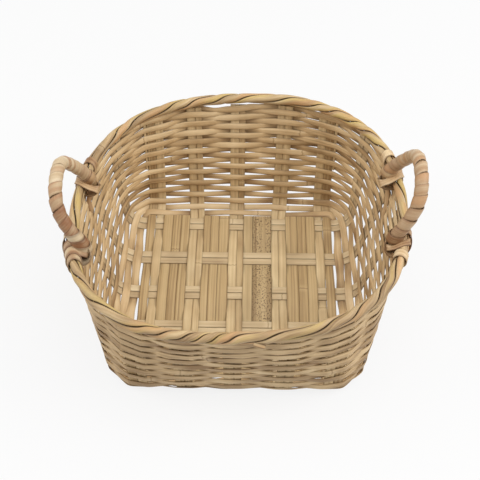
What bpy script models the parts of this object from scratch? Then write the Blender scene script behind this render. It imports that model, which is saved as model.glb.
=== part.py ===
"""Woven bamboo basket with a twisted rim and two wrapped loop handles.

Split bamboo stakes run over and under cross bands and wide panels to make the floor, turn up at
its edge and carry the weaver rows of the wall. A rope of three twisted strands finishes the rim,
and a rod wound with flat strip is lashed to it at each side. Every strip is its own solid.
"""
import math

import bmesh
import bpy
import numpy as np

# Overall form, in metres. The basket stands on the table at z = 0, centred under its rim.
RIM_HALF_X = 0.140
RIM_HALF_Y = 0.138
RIM_HEIGHT = 0.116
FLOOR_HALF_X = 0.0955
FLOOR_HALF_Y = 0.0975
BEND_RADIUS = 0.0195

# The rim was bent by hand: it stands higher at the right and the back, and dips at both sides.
RIM_RIGHT_LIFT = 0.0065
RIM_BACK_LIFT = 0.0029
RIM_SIDE_DIP = 0.0027

# Plan outline: a superellipse whose inverse power grows from the square floor to the round rim.
FLOOR_ROUND_SHARE = 0.05
RIM_ROUND_SHARE = 0.405
ROUND_FADE_SHARE = 0.8

# Floor weave
STRIP_THICKNESS = 0.0012
BAND_THICKNESS = 0.0010
FIT_GAP = 0.0003
STAKE_WIDTH = 0.0146
EDGE_STRIP_WIDTH = 0.0078
EDGE_SPLIT = 0.0006
BAND_WIDTH = 0.0150
BAND_SPLIT = 0.0006
PANEL_SIDE_GAP = 0.0005
PANEL_END_GAP = 0.001
STAKE_TOP_GAP = 0.0012

# Places of the outermost stakes and bands, as shares of the half widths of the floor and the rim
STAKE_FLOOR_SHARE = 0.875
STAKE_RIM_SHARE = 0.590
BAND_FLOOR_SHARE = 0.886
BAND_RIM_SHARE = 0.670

# Places of all stakes and bands, as shares of the outermost ones, set by eye by the weaver.
# The stakes lean a little on their way to the rim.
STAKE_SHARES = (-1.0, -0.505, -0.03, 0.47, 1.0)
STAKE_TOP_SHARES = (-0.98, -0.533, -0.02, 0.528, 1.0)
BAND_SHARES = (-0.98, -0.495, -0.02, 0.48, 1.0)

# Wall weave
ROW_COUNT = 21
ROW_START = 0.0045
ROW_CROWDING_SHARE = 0.45
ROW_SPACE = 0.0005
ROW_TOP_GAP = 0.0016
WEAVER_WIDTH = 0.0056
WEAVER_THICKNESS = 0.0008
TURN_ALLOWANCE = 0.0005
FOOT_SLACK = 0.00025
FOOT_SLACK_ROWS = 6
CORNER_FIRST_ROW = 9
CORNER_FOOT_WIDTH = 0.0016
CORNER_TOP_WIDTH = 0.0030
CORNER_SPLIT = 0.0005
CORNER_TOP_GAP = 0.0015
CORNER_BULGE_SHARE = 0.9
CORNER_BULGE_ROWS = 11
ROWS_PER_STAKE_SECTION = 3

# Rim rope
ROPE_RADIUS = 0.0048
ROPE_STRANDS = 3
ROPE_TURNS = 10
ROPE_STATIONS_PER_TURN = 15
STRAND_HEART = 0.0007
STRAND_SIDE_SHARE = 0.84
STRAND_HALF_ANGLE = math.radians(53.0)

# Handles
HANDLE_CENTRE_Y = -0.003
HANDLE_HALF_SPAN = 0.038
HANDLE_RISE = 0.049
HANDLE_OVERHANG = 0.0085
HANDLE_TAIL = 0.012
HANDLE_LEAN_SHARE = 0.8
ROD_RADIUS = 0.0040
ROD_RIM_GAP = 0.0006
ROD_SIDES = 8
ARCH_STEPS = 20
WRAP_THICKNESS = 0.0009
WRAP_TURNS = 13
WRAP_POINTS_PER_TURN = 8
WRAP_GAP = 0.0009

# Lashings
LASH_THICKNESS = 0.0009
LASH_WIDTH = 0.0050
LASH_GAP = 0.0006
LASH_TURN_POINTS = 8
RIM_BAND_POINTS = 10
RIM_BAND_GAP = 0.0006
RIM_BANDS = (("left_far", -1, 1), ("right_far", 1, 1), ("right_near", 1, -1))

WEAVE_OFFSET = STRIP_THICKNESS / 2 + FIT_GAP + BAND_THICKNESS / 2
WEAVE_PLANE = STRIP_THICKNESS / 2 + WEAVE_OFFSET
WALL_OFFSET = STRIP_THICKNESS / 2 + FIT_GAP + WEAVER_THICKNESS / 2
TINY_ANGLE = math.radians(0.05)

X_AXIS = np.array([1.0, 0.0, 0.0])
Y_AXIS = np.array([0.0, 1.0, 0.0])
UP = np.array([0.0, 0.0, 1.0])


def unit(vector):
    return vector / np.linalg.norm(vector)


# The wall's middle surface, measured by the length that a stake climbs from the floor's edge

RIM_RUN = RIM_HALF_X - FLOOR_HALF_X
RIM_RISE = RIM_HEIGHT - WEAVE_PLANE
RIM_FROM_BEND = math.hypot(RIM_RUN, RIM_RISE - BEND_RADIUS)
WALL_SLOPE = math.atan2(RIM_RISE - BEND_RADIUS, RIM_RUN) + math.asin(BEND_RADIUS / RIM_FROM_BEND)
WALL_LENGTH = BEND_RADIUS * WALL_SLOPE + math.sqrt(RIM_FROM_BEND ** 2 - BEND_RADIUS ** 2)


def profile(climb):
    """How far out and how far up a stake has come after this length."""
    turn = min(climb / BEND_RADIUS, WALL_SLOPE)
    straight = climb - turn * BEND_RADIUS
    out = BEND_RADIUS * math.sin(turn) + straight * math.cos(WALL_SLOPE)
    rise = BEND_RADIUS * (1.0 - math.cos(turn)) + straight * math.sin(WALL_SLOPE)
    return out, rise, turn


def plan(climb):
    """Half width, half depth and power of the superellipse at this length up the wall."""
    out = profile(climb)[0]
    flare = out / RIM_RUN
    half_x = FLOOR_HALF_X + flare * (RIM_HALF_X - FLOOR_HALF_X)
    half_y = FLOOR_HALF_Y + flare * (RIM_HALF_Y - FLOOR_HALF_Y)
    fade = (climb / WALL_LENGTH) ** ROUND_FADE_SHARE
    roundness = FLOOR_ROUND_SHARE + (RIM_ROUND_SHARE - FLOOR_ROUND_SHARE) * fade
    return half_x, half_y, 1.0 / roundness, flare


def wall_point(climb, angle):
    half_x, half_y, power, _ = plan(climb)
    cosine, sine = math.cos(angle), math.sin(angle)
    radius = ((abs(cosine) / half_x) ** power + (abs(sine) / half_y) ** power) ** (-1.0 / power)
    rise = profile(climb)[1]
    lift = RIM_RIGHT_LIFT * cosine + RIM_BACK_LIFT * sine - RIM_SIDE_DIP * math.cos(2 * angle)
    height = WEAVE_PLANE + rise + lift * rise / RIM_RISE
    return np.array([radius * cosine, radius * sine, height])


# Where the stakes stand round the wall. Each is (wall, place, floor direction, width), and its
# place is a pair of shares from -1 to 1, at the foot and at the rim

STAKE_PLACES = [share * STAKE_FLOOR_SHARE * FLOOR_HALF_X for share in STAKE_SHARES]
BAND_PLACES = [share * BAND_FLOOR_SHARE * FLOOR_HALF_Y for share in BAND_SHARES]
LAST_STAKE = len(STAKE_SHARES) - 1
EDGE_SHIFT = (EDGE_STRIP_WIDTH + EDGE_SPLIT) / 2


def stake_width(index):
    """Width of a stake in the wall. An outermost one is a pair: a floor stake and an edge panel."""
    return 2 * EDGE_STRIP_WIDTH + EDGE_SPLIT if index in (0, LAST_STAKE) else STAKE_WIDTH


def stake_strip(index):
    """Half width of a floor stake, and how far it lies to the right of its stake's middle."""
    if index in (0, LAST_STAKE):
        return EDGE_STRIP_WIDTH / 2, EDGE_SHIFT if index == 0 else -EDGE_SHIFT
    return STAKE_WIDTH / 2, 0.0


def wall_stakes():
    """All upright stakes, with the width that each shows, in order round the basket."""
    along_x = [(share, stake_width(index)) for index, share in
               enumerate(zip(STAKE_SHARES, STAKE_TOP_SHARES))]
    along_y = [((share, share), BAND_WIDTH) for share in BAND_SHARES]
    around = [("front", share, X_AXIS, width) for share, width in along_x]
    around.append(("corner", (-1, 1), None, 0.0))
    around += [("right", share, Y_AXIS, width) for share, width in along_y]
    around.append(("corner", (1, 1), None, 0.0))
    around += [("back", share, -X_AXIS, width) for share, width in reversed(along_x)]
    around.append(("corner", (1, -1), None, 0.0))
    around += [("left", share, -Y_AXIS, width) for share, width in reversed(along_y)]
    around.append(("corner", (-1, -1), None, 0.0))
    return around


def stake_angle(stake, climb):
    """The plan angle at which a stake crosses the wall's outline at this length."""
    wall, (foot_share, rim_share), _, _ = stake
    half_x, half_y, power, flare = plan(climb)
    if wall == "corner":
        return math.atan2(foot_share * half_y, rim_share * half_x)
    if wall in ("front", "back"):
        foot = foot_share * STAKE_FLOOR_SHARE * FLOOR_HALF_X
        head = rim_share * STAKE_RIM_SHARE * RIM_HALF_X
        fanned = foot + (head - foot) * flare
        depth = half_y * (1.0 - abs(fanned / half_x) ** power) ** (1.0 / power)
        return math.atan2(depth if wall == "back" else -depth, fanned)
    foot = foot_share * BAND_FLOOR_SHARE * FLOOR_HALF_Y
    head = rim_share * BAND_RIM_SHARE * RIM_HALF_Y
    fanned = foot + (head - foot) * flare
    depth = half_x * (1.0 - abs(fanned / half_y) ** power) ** (1.0 / power)
    return math.atan2(fanned, depth if wall == "right" else -depth)


def stake_point(stake, climb):
    return wall_point(climb, stake_angle(stake, climb))


def stake_frame(stake, climb, half_step):
    """Middle, upward, sideways and outward directions of a stake between two of its sections."""
    low = stake_point(stake, climb - half_step)
    high = stake_point(stake, climb + half_step)
    along = unit(high - low)
    angle = stake_angle(stake, climb)
    ring = unit(wall_point(climb, angle + TINY_ANGLE) - wall_point(climb, angle - TINY_ANGLE))
    if stake[0] != "corner":
        settled = math.sin(profile(climb)[2])
        ring = ring * settled + stake[2] * (1.0 - settled)
    wide = unit(ring - along * ring.dot(along))
    return (low + high) / 2, along, wide, np.cross(wide, along)


# Mesh helpers: every piece is lofted through rings of points

def loft(rings, closed=False):
    """Vertices and faces of a body through rings of points, joined end to end or capped."""
    side_count = len(rings[0])
    faces = []
    for index in range(len(rings) if closed else len(rings) - 1):
        here = side_count * index
        there = side_count * ((index + 1) % len(rings))
        for side in range(side_count):
            after = (side + 1) % side_count
            faces.append((here + side, here + after, there + after, there + side))
    if not closed:
        last = side_count * (len(rings) - 1)
        faces.append(tuple(reversed(range(side_count))))
        faces.append(tuple(last + side for side in range(side_count)))
    return [tuple(point) for ring in rings for point in ring], faces


def strip_ring(middle, wide, thick):
    """The four corners of a flat strip's section, from half-width and half-thickness vectors."""
    return [middle - wide - thick, middle + wide - thick, middle + wide + thick, middle - wide + thick]


def finish(name, colour, roughness):
    material = bpy.data.materials.new(name + "_finish")
    material.use_nodes = True
    shader = material.node_tree.nodes["Principled BSDF"]
    shader.inputs["Base Color"].default_value = (*colour, 1.0)
    shader.inputs["Roughness"].default_value = roughness
    shader.inputs["Metallic"].default_value = 0.0
    return material


def add_piece(name, body, colour, roughness):
    """One named object from a lofted body, with a finish of its own."""
    vertices, faces = body
    mesh = bpy.data.meshes.new(name)
    mesh.from_pydata(vertices, [], faces)
    shape = bmesh.new()
    shape.from_mesh(mesh)
    bmesh.ops.recalc_face_normals(shape, faces=shape.faces)
    shape.to_mesh(mesh)
    shape.free()
    mesh.materials.append(finish(name, colour, roughness))
    piece = bpy.data.objects.new(name, mesh)
    bpy.context.scene.collection.objects.link(piece)
    return piece


# Lengths up the wall at which the rows lie and the upright strips are bent

LASH_RADIUS = (ROPE_RADIUS + LASH_GAP) / math.cos(math.pi / LASH_TURN_POINTS) + LASH_THICKNESS / 2
ROW_TOP_SPACE = LASH_RADIUS + LASH_THICKNESS / 2 + ROW_TOP_GAP
ROWS_TO_TOP = ROW_COUNT - 0.5
MEAN_PITCH = (WALL_LENGTH - ROW_TOP_SPACE - ROW_START) / ROWS_TO_TOP
FOOT_PITCH = MEAN_PITCH / (1.0 - ROW_CROWDING_SHARE / 2)
STAKE_END = WALL_LENGTH - ROPE_RADIUS - STAKE_TOP_GAP
BEND_END = BEND_RADIUS * WALL_SLOPE


def row_climb(row):
    """Length up the wall of a row, or of a place between rows, which crowd towards the rim."""
    return ROW_START + FOOT_PITCH * row * (1.0 - ROW_CROWDING_SHARE * row / (2 * ROWS_TO_TOP))


def stake_stations(first_row=0):
    """Lengths of an upright strip's sections: between all rows in the bend, then more widely."""
    stations = []
    row = first_row
    while row < ROW_COUNT:
        stations.append(row_climb(row - 0.5))
        row += 1 if row_climb(row - 1) < BEND_END else ROWS_PER_STAKE_SECTION
    stations.append(STAKE_END)
    return stations


def corner_width(climb):
    """Width of a corner stake, which was pushed in as a wedge and widens to the rim."""
    first = stake_stations(CORNER_FIRST_ROW)[0]
    share = (climb - first) / (STAKE_END - first)
    return CORNER_FOOT_WIDTH + (CORNER_TOP_WIDTH - CORNER_FOOT_WIDTH) * share


def upright_rings(stake, half_width, shift=0.0):
    """Rings of a strip that climbs the wall as a stake, from its foot to the rim."""
    rings = []
    for climb in stake_stations():
        _, _, wide, outward = stake_frame(stake, climb, min(MEAN_PITCH / 4, climb / 2))
        middle = stake_point(stake, climb) + wide * shift
        rings.append(strip_ring(middle, wide * half_width, outward * STRIP_THICKNESS / 2))
    return rings


def wedge_rings(stake, side):
    """Rings of a wedge that stands in the wall beside a stake, on this side of it."""
    rings = []
    for climb in stake_stations(CORNER_FIRST_ROW):
        climb = min(climb, STAKE_END - CORNER_TOP_GAP)
        _, _, wide, outward = stake_frame(stake, climb, MEAN_PITCH / 4)
        half = corner_width(climb) / 2
        middle = stake_point(stake, climb) + wide * side * (stake[3] / 2 + CORNER_SPLIT + half)
        rings.append(strip_ring(middle, wide * half, outward * STRIP_THICKNESS / 2))
    return rings


def flipped(rings):
    """The same sections with their sides exchanged, so that a strip runs on without a twist."""
    return [[ring[1], ring[0], ring[3], ring[2]] for ring in rings]


# Floor: stakes and panels run over and under the cross bands

BAND_FLAT_HALF = BAND_WIDTH / 2 + TURN_ALLOWANCE


def floor_rings(x_place, half_width, high_over_outer_bands, end=None):
    """Sections of a strip that runs front to back, at both edges of each band that it crosses."""
    rings = []
    for index, band_y in enumerate(BAND_PLACES):
        over = (index % 2 == 0) == high_over_outer_bands
        height = WEAVE_PLANE + (WEAVE_OFFSET if over else -WEAVE_OFFSET)
        for edge in (band_y - BAND_FLAT_HALF, band_y + BAND_FLAT_HALF):
            if end is not None:
                edge = min(max(edge, -end), end)
            middle = np.array([x_place, edge, height])
            rings.append(strip_ring(middle, X_AXIS * half_width, -UP * STRIP_THICKNESS / 2))
    return rings


def through_rings(index, half_width, shift, high_over_outer_bands):
    """Sections of a strip that runs along a stake, up the front wall and up the back wall."""
    share, place = (STAKE_SHARES[index], STAKE_TOP_SHARES[index]), STAKE_PLACES[index]
    front = upright_rings(("front", share, X_AXIS, None), half_width, shift)
    back = upright_rings(("back", share, -X_AXIS, None), half_width, -shift)
    across = floor_rings(place + shift, half_width, high_over_outer_bands)
    return front[::-1] + across + flipped(back)


def add_floor_stakes():
    for index in range(LAST_STAKE + 1):
        rings = through_rings(index, *stake_strip(index), high_over_outer_bands=False)
        add_piece(f"floor_stake_{index + 1}", loft(rings), (0.60, 0.46, 0.28), 0.55)


def board_rings(left, right):
    """Sections of a wide board between two stakes, cut off at the floor's edge."""
    end = FLOOR_HALF_Y - PANEL_END_GAP
    middle_x, half_width = (left + right) / 2, (right - left) / 2
    rings = floor_rings(middle_x, half_width, high_over_outer_bands=True, end=end)
    for y_end, at in ((-end, 0), (end, len(rings) + 1)):
        middle = np.array([middle_x, y_end, WEAVE_PLANE + WEAVE_OFFSET])
        rings.insert(at, strip_ring(middle, X_AXIS * half_width, -UP * STRIP_THICKNESS / 2))
    return rings


def add_floor_panels():
    """Boards between the stakes, and a narrow one at each side that turns up beside its stake."""
    for index in range(LAST_STAKE + 2):
        if index in (0, LAST_STAKE + 1):
            stake = 0 if index == 0 else LAST_STAKE
            half_width, shift = stake_strip(stake)
            rings = through_rings(stake, half_width, -shift, high_over_outer_bands=True)
        else:
            sides = []
            for stake, side in ((index - 1, 1), (index, -1)):
                strip_half, shift = stake_strip(stake)
                sides.append(STAKE_PLACES[stake] + shift + side * (strip_half + PANEL_SIDE_GAP))
            rings = board_rings(*sides)
        add_piece(f"floor_panel_{index + 1}", loft(rings), (0.52, 0.40, 0.23), 0.60)


def add_cross_bands():
    """Pairs of narrow strips that cross the floor and turn up both side walls."""
    half_width = (BAND_WIDTH - BAND_SPLIT) / 4
    offset = (BAND_WIDTH + BAND_SPLIT) / 4
    for index, (share, place) in enumerate(zip(BAND_SHARES, BAND_PLACES)):
        for name, side in (("front", -1), ("back", 1)):
            ends = (share, share)
            right = upright_rings(("right", ends, Y_AXIS, None), half_width, side * offset)
            left = upright_rings(("left", ends, -Y_AXIS, None), half_width, -side * offset)
            across = []
            for x_end in (-FLOOR_HALF_X, FLOOR_HALF_X):
                middle = np.array([x_end, place + side * offset, WEAVE_PLANE])
                ring = strip_ring(middle, Y_AXIS * half_width, -UP * BAND_THICKNESS / 2)
                across.append(ring)
            rings = flipped(left[::-1]) + across + right
            add_piece(f"cross_band_{index + 1}_{name}", loft(rings), (0.66, 0.52, 0.33), 0.50)


def corner_side(stake):
    """On which side of this stake the corner is: -1 before it, 1 after it, and 0 for no corner."""
    if stake[0] not in ("front", "back") or abs(stake[1][0]) < 1.0:
        return 0
    return int(stake[1][0] * stake[2][0])


def add_corner_stakes():
    """Wedges pushed down beside the outermost stakes, one near each corner."""
    outermost = [stake for stake in wall_stakes() if corner_side(stake)]
    for index, stake in enumerate(outermost[1:] + outermost[:1]):
        rings = wedge_rings(stake, corner_side(stake))
        add_piece(f"corner_stake_{index + 1}", loft(rings), (0.58, 0.44, 0.27), 0.55)


# Wall: each weaver row goes in front of one stake and behind the next, and rows alternate

def weaver_path(row):
    """Centre points of a row, at both edges of each stake, with its half-width vectors.

    The rows are packed closer towards the rim and where it dips, and are squeezed narrower there.
    The lowest ones lie a little looser against the stakes, which still turn there.
    """
    lower, upper = row_climb(row - 0.5), row_climb(row + 0.5)
    climb = (lower + upper) / 2
    offset = WALL_OFFSET + FOOT_SLACK * max(0.0, 1.0 - row / FOOT_SLACK_ROWS)
    points, half_widths, corners = [], [], []
    passed = 0
    for stake in wall_stakes():
        middle, along, wide, outward = stake_frame(stake, climb, (upper - lower) / 2)
        spacing = np.linalg.norm(stake_point(stake, upper) - stake_point(stake, lower))
        half_width = along * min(spacing - ROW_SPACE, WEAVER_WIDTH) / 2
        if stake[0] == "corner":
            corners.append(len(points))
            points.append(middle)
            half_widths.append(half_width)
            continue
        side = -1 if (passed + row) % 2 == 0 else 1
        passed += 1
        for edge in (-1, 1):
            reach = stake[3] / 2 + TURN_ALLOWANCE
            if edge == corner_side(stake) and row >= CORNER_FIRST_ROW:
                reach += CORNER_SPLIT + corner_width(climb)
            points.append(middle + wide * edge * reach + outward * side * offset)
            half_widths.append(half_width)
    bulge = CORNER_BULGE_SHARE * max(0.0, 1.0 - row / CORNER_BULGE_ROWS)
    for index in corners:
        chord = (points[index - 1] + points[(index + 1) % len(points)]) / 2
        points[index] = chord + (points[index] - chord) * bulge
    return points, half_widths


def mitred_rings(points, half_widths, half_thickness):
    """Closed strip sections that keep the strip's thickness through each change of direction."""
    rings = []
    count = len(points)
    for index in range(count):
        before = unit(np.cross(points[index] - points[index - 1], half_widths[index]))
        after = unit(np.cross(points[(index + 1) % count] - points[index], half_widths[index]))
        mitre = unit(before + after)
        thick = mitre * half_thickness / mitre.dot(before)
        rings.append(strip_ring(points[index], half_widths[index], thick))
    return rings


def add_weaver_rows():
    for row in range(ROW_COUNT):
        rings = mitred_rings(*weaver_path(row), WEAVER_THICKNESS / 2)
        name = f"weaver_row_{row + 1:02d}"
        add_piece(name, loft(rings, closed=True), (0.62, 0.47, 0.28), 0.50)


# Rim: three strands twisted into a closed rope over the stake ends

def rim_frame(angle):
    """Centre of the rope, its run, and the directions outward and upward across it."""
    centre = wall_point(WALL_LENGTH, angle)
    ahead = wall_point(WALL_LENGTH, angle + TINY_ANGLE)
    run = unit(ahead - centre)
    outward = unit(np.cross(run, UP))
    return centre, run, outward, unit(np.cross(outward, run))


def even_rim_angles(count):
    """Plan angles that divide the rim into equal lengths."""
    fine = np.linspace(0.0, 2 * math.pi, 24 * count + 1)
    points = np.array([wall_point(WALL_LENGTH, angle) for angle in fine])
    steps = np.linalg.norm(np.diff(points, axis=0), axis=1)
    length = np.concatenate([[0.0], np.cumsum(steps)])
    even = np.arange(count) * length[-1] / count
    return np.interp(even, length, fine)


def add_rim_strands():
    stations = ROPE_TURNS * ROPE_STATIONS_PER_TURN
    angles = even_rim_angles(stations)
    side_radius = STRAND_SIDE_SHARE * ROPE_RADIUS
    section = ((0.0, STRAND_HEART), (-STRAND_HALF_ANGLE, side_radius),
               (0.0, ROPE_RADIUS), (STRAND_HALF_ANGLE, side_radius))
    for strand in range(ROPE_STRANDS):
        rings = []
        for index, angle in enumerate(angles):
            centre, _, outward, upward = rim_frame(angle)
            twist = 2 * math.pi * (index / ROPE_STATIONS_PER_TURN + strand / ROPE_STRANDS)
            ring = []
            for spread, radius in section:
                across = outward * math.cos(twist + spread) + upward * math.sin(twist + spread)
                ring.append(centre + across * radius)
            rings.append(ring)
        add_piece(f"rim_strand_{strand + 1}", loft(rings, closed=True), (0.66, 0.50, 0.27), 0.45)


# Handles: a rod whose ends stand inside the rim, wound with one flat strip

def rim_angle_at(side, y_place):
    """Plan angle of the rim at this place along the left or right side."""
    half_x, half_y, power, _ = plan(WALL_LENGTH)
    x_place = half_x * (1.0 - abs(y_place / half_y) ** power) ** (1.0 / power)
    return math.atan2(y_place, side * x_place)


def foot_point(side, end):
    """Centre of the rod where it passes inside the rope, at the far or near end."""
    y_place = HANDLE_CENTRE_Y + end * HANDLE_HALF_SPAN
    centre = wall_point(WALL_LENGTH, rim_angle_at(side, y_place))
    inset = ROPE_RADIUS + ROD_RIM_GAP + ROD_RADIUS
    return centre - side * X_AXIS * inset


def handle_path(side):
    """Centre points of the rod, from the near tail over the arch to the far tail."""
    near, far = foot_point(side, -1), foot_point(side, 1)
    points = [near - UP * HANDLE_TAIL]
    for step in range(ARCH_STEPS + 1):
        turn = math.pi * step / ARCH_STEPS
        rise = HANDLE_RISE * math.sin(turn)
        share = (1.0 - math.cos(turn)) / 2
        point = near + (far - near) * share + UP * rise
        lean = (1.0 - math.cos(math.pi * math.sin(turn) ** HANDLE_LEAN_SHARE)) / 2
        reach = RIM_HALF_X + HANDLE_OVERHANG - abs(point[0])
        points.append(point + side * X_AXIS * reach * lean)
    points.append(far - UP * HANDLE_TAIL)
    return points


def path_frames(points, side):
    """Length so far, run and two crosswise directions at each point of a handle's path."""
    points = np.array(points)
    runs = np.gradient(points, axis=0)
    lengths = np.concatenate([[0.0], np.cumsum(np.linalg.norm(np.diff(points, axis=0), axis=1))])
    frames = []
    for point, run in zip(points, runs):
        run = unit(run)
        first = unit(side * X_AXIS - run * run.dot(side * X_AXIS))
        frames.append((point, first, np.cross(run, first)))
    return lengths, frames


def frame_at(length, lengths, frames):
    values = []
    for part in range(3):
        table = np.array([frame[part] for frame in frames])
        values.append(np.array([np.interp(length, lengths, table[:, axis]) for axis in range(3)]))
    return values[0], unit(values[1]), unit(values[2])


def add_handle_rod(name, side):
    lengths, frames = path_frames(handle_path(side), side)
    rings = []
    for point, first, second in frames:
        ring = []
        for corner in range(ROD_SIDES):
            turn = 2 * math.pi * corner / ROD_SIDES
            ring.append(point + ROD_RADIUS * (first * math.cos(turn) + second * math.sin(turn)))
        rings.append(ring)
    add_piece(name, loft(rings), (0.50, 0.36, 0.22), 0.60)


def wrap_limits(lengths):
    """Lengths along the rod between which the strip is wound, clear of the rim and its lashing."""
    start = HANDLE_TAIL + LASH_RADIUS + LASH_WIDTH
    return start, lengths[-1] - start


def add_handle_wrap(name, side):
    """One unbroken flat strip wound round the rod. Prints its least gap between turns."""
    lengths, frames = path_frames(handle_path(side), side)
    start, end = wrap_limits(lengths)
    pitch = (end - start) / WRAP_TURNS
    half_width = (pitch - WRAP_GAP) / 2
    inner = (ROD_RADIUS + FIT_GAP) / math.cos(math.pi / WRAP_POINTS_PER_TURN)
    outer = inner + WRAP_THICKNESS
    rings, edges = [], []
    for index in range(WRAP_TURNS * WRAP_POINTS_PER_TURN + 1):
        turn = 2 * math.pi * index / WRAP_POINTS_PER_TURN
        length = start + pitch * index / WRAP_POINTS_PER_TURN
        ring = []
        for reach, radius in ((-half_width, inner), (half_width, inner), (half_width, outer),
                              (-half_width, outer)):
            point, first, second = frame_at(length + reach, lengths, frames)
            ring.append(point + radius * (first * math.cos(turn) + second * math.sin(turn)))
        rings.append(ring)
    for index in range(len(rings) - WRAP_POINTS_PER_TURN):
        later = rings[index + WRAP_POINTS_PER_TURN]
        edges.append(np.linalg.norm(later[0] - rings[index][1]))
        edges.append(np.linalg.norm(later[3] - rings[index][2]))
    print(f"{name}: least gap between turns {min(edges) * 1000:.2f} mm")
    add_piece(name, loft(rings), (0.62, 0.44, 0.30), 0.55)


# Lashings: a strip crosses the rim and the rod's foot, and a band holds the rim beside it

LASH_CROSSING = ROD_RADIUS + FIT_GAP + TURN_ALLOWANCE + LASH_WIDTH / 2


def lash_points(end):
    """Places round a foot's lashing: what each is measured from, then outward, along and upward.

    It lies on the outside of the rope, passes over the rope beyond the foot, crosses the rod on
    the basket's inside and comes back under the rope on the loop's side of the foot.
    """
    beside = LASH_CROSSING - LASH_WIDTH / 2
    behind = ROD_RADIUS + FIT_GAP + LASH_THICKNESS / 2
    slant = LASH_RADIUS * math.sqrt(0.5)
    return [
        ("rope", LASH_RADIUS, 0.0, 0.0, (1, 0)),
        ("rope", slant, end * LASH_CROSSING / 2, slant, (1, 1)),
        ("rope", 0.0, end * LASH_CROSSING, LASH_RADIUS, (0, 1)),
        ("rod", 0.0, end * LASH_CROSSING, LASH_RADIUS, (0, 1)),
        ("rod", -behind, end * beside, slant, (-1, 0)),
        ("rod", -behind, -end * beside, -slant, (-1, 0)),
        ("rod", 0.0, -end * LASH_CROSSING, -LASH_RADIUS, (0, -1)),
        ("rope", 0.0, -end * LASH_CROSSING, -LASH_RADIUS, (0, -1)),
        ("rope", slant, -end * LASH_CROSSING / 2, -slant, (1, -1)),
    ]


def add_foot_lashing(name, side, end):
    y_place = HANDLE_CENTRE_Y + end * HANDLE_HALF_SPAN
    rod = foot_point(side, end)
    points, facings = [], []
    for measured_from, out, along, high, (facing_out, facing_up) in lash_points(end):
        base = wall_point(WALL_LENGTH, rim_angle_at(side, y_place + along))
        if measured_from == "rod":
            base[0] = rod[0]
        points.append(base + side * X_AXIS * out + UP * high)
        facings.append(side * X_AXIS * facing_out + UP * facing_up)
    rings = []
    count = len(points)
    for index in range(count):
        run = unit(points[(index + 1) % count] - points[index - 1])
        thick = unit(facings[index] - run * run.dot(facings[index]))
        wide = np.cross(run, thick)
        rings.append(strip_ring(points[index], wide * LASH_WIDTH / 2, thick * LASH_THICKNESS / 2))
    add_piece(name, loft(rings, closed=True), (0.55, 0.38, 0.26), 0.55)


def add_rim_band(name, side, end):
    """A strip wound once round the rope, beyond a handle's foot and the side stake near it."""
    next_to_corner = BAND_SHARES[-2] if end > 0 else -BAND_SHARES[1]
    stake_edge = next_to_corner * BAND_RIM_SHARE * RIM_HALF_Y + BAND_WIDTH / 2
    foot_edge = end * HANDLE_CENTRE_Y + HANDLE_HALF_SPAN + LASH_CROSSING + LASH_WIDTH / 2
    y_place = end * (max(stake_edge, foot_edge) + RIM_BAND_GAP + LASH_WIDTH / 2)
    centre, run, outward, upward = rim_frame(rim_angle_at(side, y_place))
    radius = (ROPE_RADIUS + FIT_GAP) / math.cos(math.pi / RIM_BAND_POINTS) + LASH_THICKNESS / 2
    rings = []
    for index in range(RIM_BAND_POINTS):
        turn = 2 * math.pi * index / RIM_BAND_POINTS
        facing = outward * math.cos(turn) + upward * math.sin(turn)
        rings.append(strip_ring(centre + facing * radius, run * LASH_WIDTH / 2,
                                facing * LASH_THICKNESS / 2))
    add_piece(name, loft(rings, closed=True), (0.64, 0.50, 0.34), 0.50)


def add_handles():
    for hand, side in (("left", -1), ("right", 1)):
        add_handle_rod(f"handle_rod_{hand}", side)
        add_handle_wrap(f"handle_wrap_{hand}", side)
        for place, end in (("near", -1), ("far", 1)):
            add_foot_lashing(f"foot_lashing_{hand}_{place}", side, end)
    for name, side, end in RIM_BANDS:
        add_rim_band(f"rim_band_{name}", side, end)


for leftover in list(bpy.data.objects):
    bpy.data.objects.remove(leftover)

add_floor_stakes()
add_floor_panels()
add_cross_bands()
add_corner_stakes()
add_weaver_rows()
add_rim_strands()
add_handles()
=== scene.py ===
"""Looks for a woven bamboo basket with a twisted rim and two wrapped loop handles.

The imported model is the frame. Each of its solids is replaced by a piece with the real strip's
section, bends and grain, and stays in place for collision.
"""

import math
import random

import bpy
import numpy as np
from mathutils import Matrix, Vector


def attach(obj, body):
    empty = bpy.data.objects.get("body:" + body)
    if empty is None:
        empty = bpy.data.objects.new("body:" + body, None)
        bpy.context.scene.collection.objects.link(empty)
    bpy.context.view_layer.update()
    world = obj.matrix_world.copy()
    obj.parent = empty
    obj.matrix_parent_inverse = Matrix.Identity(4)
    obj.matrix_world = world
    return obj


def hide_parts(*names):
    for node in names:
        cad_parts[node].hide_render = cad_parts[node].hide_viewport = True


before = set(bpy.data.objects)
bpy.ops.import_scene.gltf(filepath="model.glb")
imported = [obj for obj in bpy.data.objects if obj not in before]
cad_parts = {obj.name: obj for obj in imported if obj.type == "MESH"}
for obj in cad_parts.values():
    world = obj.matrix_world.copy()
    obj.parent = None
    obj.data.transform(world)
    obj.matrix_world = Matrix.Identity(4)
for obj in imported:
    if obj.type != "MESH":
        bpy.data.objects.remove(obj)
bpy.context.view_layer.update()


# Floor stakes: flat strips of split bamboo that run from front to back through the floor and
# turn up both walls. The middle three are two strips laid side by side. They are held by the
# cross bands that they pass over and under, and by the weaver rows.

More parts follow.
